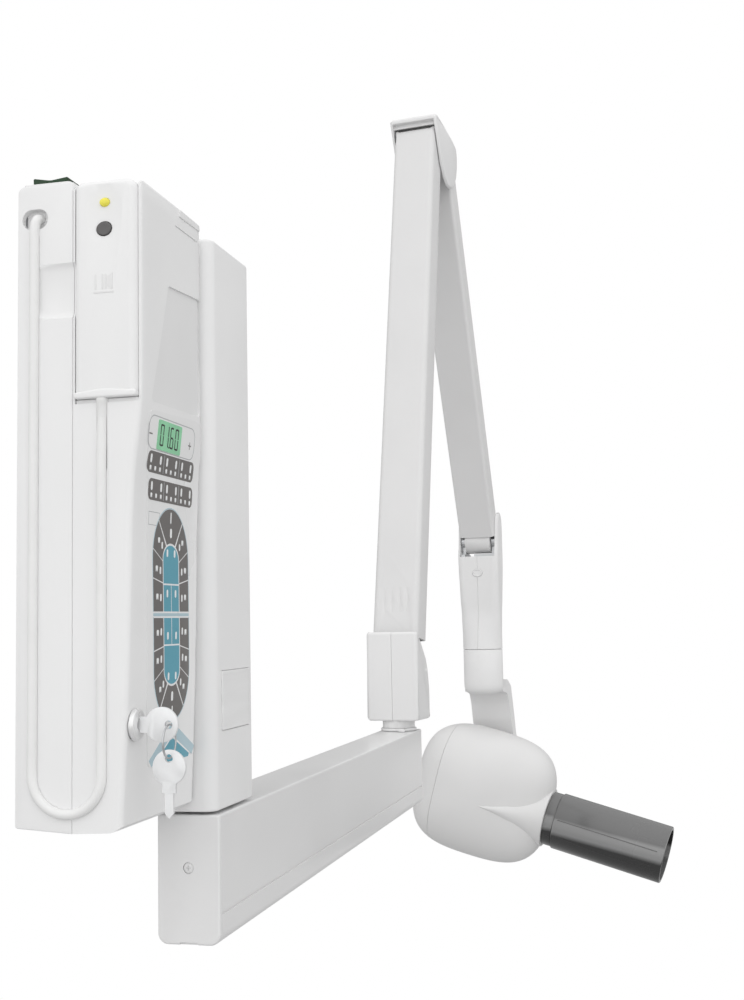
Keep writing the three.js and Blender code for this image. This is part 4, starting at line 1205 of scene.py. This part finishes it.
def wrist():
    stations = [73, 76, *range(80, 144, 5), 160, 180, 200, 207, 214, 222, 230, 238, 245, 250, 254, 257, 259.5,
                261.2, 261.9]
    for name, node, cut_lo, cut_hi in (("wrist_far", "wrist_right", -60, 0.12),
                                       ("wrist_near", "wrist_left", -0.12, 60)):
        cuts = [
            block(300, cut_lo, 0, 420, cut_hi, 300),
            block(320, -24.6, 201, 400, 24.6, 300),
            rod("z", 10, 60, 141, (HUB_S, 0)),
            prism(ellipse(0, 178, 7.4, 5.6), "x", 330, 338.8),
        ]
        whole = loft([wrist_ring(z) for z in stations])
        shaped(name, whole, SCISSOR, CAP, "wrist", node, cuts, soft=(38, 0.12, 2))
    plug = [ring3(ellipse(0, 178, 7.4 - d, 5.6 - d), "x", x)
            for x, d in ((339.2, 0.25), (337.6, 0.25), (337.2, 0.6), (337.15, 1.3), (337.9, 1.9))]
    detail("wrist_plug", loft(plug), SCISSOR, CAP, "wrist", "housing", 50)
    pin = turned([(0, 337.7), (1, 337.8), (1.4, 338.1), (1.4, 339.5), (0, 339.5)], 24, "x", (0, 189.6))
    detail("wrist_pin", pin, SCISSOR, PIN_GREY_AND_PANEL_SHADE, "wrist", "housing")


def yoke():
    hub = [(0, 11), (12, 11.1), (18.5, 12), (22.8, 13.8), (25.4, 16.6), (26.7, 20.4), (27, 25), (27, 71.6),
           (26.4, 72.4), (25, 72.6), (9.6, 72.6), (9.6, 140), (0, 140)]
    body = piece("yoke_body", turned(hub, 72, "z", (HUB_S, 0)), SCISSOR, CAP)
    side = rounded([(362, 29, 0), (392, 29.5, 10), (404, 20, 16), (418, -16, 40), (430, -50, 60),
                    (443, -86, 60), (453, -123, 40), (451, -146, 6), (443, -153, 6), (438, -146, 3),
                    (438, -104, 20), (431.5, -88, 40), (421.5, -62, 60), (410.5, -45, 40), (402, -28, 40),
                    (393, -4, 20), (384, 10, 10), (362, 14, 0)], 8)
    front = rounded([(-22, 42, 3), (24, 42, 3), (29, 20, 20), (34, -123, 28), (4, -157, 30), (-24, -123, 28),
                     (-26, 20, 20)], 14)
    strap = piece("yoke_strap", prism(side, "y", -28, 36), SCISSOR, CAP)
    carve(strap, SCISSOR, prism(front, "x", 350, 480), how="INTERSECT")
    boolean(body, strap, "UNION")
    joined = mesh_now(body)
    body.modifiers.clear()
    bpy.data.objects.remove(strap)
    body.data = joined
    carve(body, SCISSOR, rod("x", 9.3, 430, 449, YOKE_PIN))
    soften(body, 38, 1.4, 4)
    stands_for(body, "yoke", "yoke_casting")
    disc = turned([(0, 453.2), (7.4, 453.2), (8.6, 452.7), (9, 451.8), (9, 450), (0, 450)], 40, "x", YOKE_PIN)
    detail("pivot_cap", disc, SCISSOR, CAP, "yoke", "housing")


# ---------- tube head ----------
# in the head's own frame: its half sizes, where its two shells meet, and the height of the beam
HEAD_SIZE, SPLIT, BEAM_DROP = (72.0, 95.0, 86.0), 54.3, -7.0
CONE_R, CONE_START, CONE_END = 37.3, 107.5, 255.0


def pillow(a, b, c, n=96, m=64):
    """Rounded block: squarish seen along x, rounder across, drawn in towards the beam side."""
    rings = []
    for i in range(m + 1):
        t = math.pi * i / m
        x = -math.cos(t)
        ring = [(0.0, 0.0)] if i in (0, m) else circle(0, 0, math.sin(t), n)
        points = []
        for y, z in ring:
            side = abs(y) ** 3.2 + abs(z) ** 3.2
            k = (side ** 0.75 + abs(x) ** 2.4) ** (-1 / 2.4)
            narrowed = 1 - 0.2 * smooth((10 - y * k * b) / 60)
            points.append((x * k * a * narrowed, y * k * b, z * k * c))
        rings.append(points)
    return loft(rings, cap=False)


# flank of the head round the beam: along y, half width and half height, from the nose back to a thin edge
SWELL = [(-93.9, 38.2, 38.2), (-93.3, 39.4, 39.4), (-92, 40.2, 40), (-86, 43, 38.2), (-78, 46.6, 35.8),
         (-70, 49.8, 33), (-60, 53, 29.2), (-50, 55.8, 25), (-40, 58.6, 20.2), (-30, 62, 15),
         (-20, 65.6, 9.4), (-12, 68, 4.6)]


def head_shells():
    """Two halves of one pillow; the front one swells round the beam."""
    hollow = [d - 3 for d in HEAD_SIZE]
    shaped("head_rear_moulding", pillow(*HEAD_SIZE), HEAD, HEAD_PLASTIC, "tube_head", "head_rear_shell",
           [pillow(*hollow, 48, 32), block(-120, -120, -120, 120, SPLIT + 0.2, 120)], soft=(40, 0.5, 3))
    nose = loft([ring3(ellipse(0, BEAM_DROP, w, h, 96), "y", y) for y, w, h in SWELL])
    cuts = [
        pillow(*hollow, 48, 32),
        block(-120, SPLIT - 0.2, -120, 120, 120, 120),
        rod("y", 32, -130, -60, (0, BEAM_DROP), 64),
        rod("x", 14.4, 60, 90, (0, 0), 48),
    ]
    shaped("head_front_moulding", pillow(*HEAD_SIZE), HEAD, HEAD_PLASTIC, "tube_head", "head_front_shell",
           cuts, [nose], (24, 0.5, 3))


def cone():
    middle = (0, BEAM_DROP)
    sleeve = [(31.5, -94.2), (31.5, -107.2), (35.2, -107.2), (35.6, -106.6), (35.6, -94.8), (35.4, -94.2)]
    ring = hoop(sleeve, 96, "y", middle)
    shaped("cone_collar", ring, HEAD, CONE, "tube_head", "cone_adapter", soft=(30,))
    barrel = [(33, -CONE_END), (CONE_R - 1.2, -CONE_END), (CONE_R - 0.4, -CONE_END + 0.4),
              (CONE_R, -CONE_END + 1.2), (CONE_R, -CONE_START - 0.8), (CONE_R - 0.6, -CONE_START),
              (31.5, -CONE_START), (31.5, -CONE_START - 4), (33, -CONE_START - 4)]
    grooves = []
    for angle in (168, 348):
        a = math.radians(angle)
        at = (math.cos(a) * CONE_R, math.sin(a) * CONE_R + BEAM_DROP)
        grooves.append(rod("y", 0.55, -CONE_END + 9, -CONE_START - 5, at, 12))
    tube = hoop(barrel, 128, "y", middle)
    shaped("cone_barrel", tube, HEAD, CONE, "tube_head", "cone_tube", grooves)
    refined("beam_window", GLASS, 0.2, sharp=40)
    refined("head_trunnion", STEEL, 0.5)


# ---------- stage ----------
def white_to_camera(tree, shader, out):
    """The camera sees plain white; every other ray sees the shader."""
    path = tree.nodes.new("ShaderNodeLightPath")
    mix = tree.nodes.new("ShaderNodeMixShader")
    glow = tree.nodes.new("ShaderNodeEmission" if out.type != "OUTPUT_WORLD" else "ShaderNodeBackground")
    glow.inputs["Color"].default_value = (1, 1, 1, 1)
    tree.links.new(path.outputs["Is Camera Ray"], mix.inputs["Fac"])
    tree.links.new(shader, mix.inputs[1])
    tree.links.new(glow.outputs[0], mix.inputs[2])
    tree.links.new(mix.outputs[0], out.inputs["Surface"])


def studio_light():
    """Even surround that is brighter from the left, the front and above."""
    world = bpy.data.worlds.new("studio")
    bpy.context.scene.world = world
    world.use_nodes = True
    tree = world.node_tree
    back = tree.nodes["Background"]
    out = tree.nodes["World Output"]
    coord = tree.nodes.new("ShaderNodeTexCoord")
    back.inputs["Color"].default_value = (1, 1, 1, 1)
    lean = tree.nodes.new("ShaderNodeVectorMath")
    lean.operation = "DOT_PRODUCT"
    lean.inputs[1].default_value = (-0.5, -0.17, 0.39)
    level = tree.nodes.new("ShaderNodeMath")
    level.operation = "ADD"
    level.inputs[1].default_value = 0.78
    tree.links.new(coord.outputs["Generated"], lean.inputs[0])
    tree.links.new(lean.outputs["Value"], level.inputs[0])
    tree.links.new(level.outputs[0], back.inputs["Strength"])
    white_to_camera(tree, back.outputs[0], out)


def floor():
    bpy.ops.mesh.primitive_plane_add(size=14, location=(0.5, -0.2, -1.44))
    ground = bpy.context.object
    ground.name = "floor"
    mat, tree, shader = new_material("pale_floor", (0.5, 0.5, 0.5), 0.9)
    white_to_camera(tree, shader.outputs[0], tree.nodes["Material Output"])
    ground.data.materials.append(mat)


def camera():
    """At the photo's angle: from the unit's left end, low beside the control face, looking along the arm."""
    yaw, pitch, roll = 0.236, 0.0925, 0.0195
    forward = Vector((math.cos(pitch) * math.cos(yaw), math.cos(pitch) * math.sin(yaw), math.sin(pitch)))
    right = forward.cross(UP).normalized()
    down = forward.cross(right)
    c, s = math.cos(roll), math.sin(roll)
    across, fall = right * c + down * s, down * c - right * s
    data = bpy.data.cameras.new("photo_view")
    data.sensor_width = 36
    data.lens = 46.8
    data.clip_start = 0.01
    cam = bpy.data.objects.new("photo_view", data)
    bpy.context.scene.collection.objects.link(cam)
    turn = Matrix((across, -fall, -forward)).transposed().to_4x4()
    cam.matrix_world = Matrix.Translation(CORNER + Vector((-0.6991, -0.3863, 0.115))) @ turn
    bpy.context.scene.camera = cam


rear_shell()
front_cover()
cover_details()
mains_switch()
handset()
grip_mark()
cable()
lock_body()
inserted_key()
split_ring()
hanging_key()
keypad()
power_box()
extension_arm()
collar()
lower_arm()
elbow()
upper_arm()
wrist()
yoke()
head_shells()
cone()
studio_light()
floor()
camera()
bpy.context.scene.view_settings.view_transform = "Standard"

bpy.context.view_layer.update()
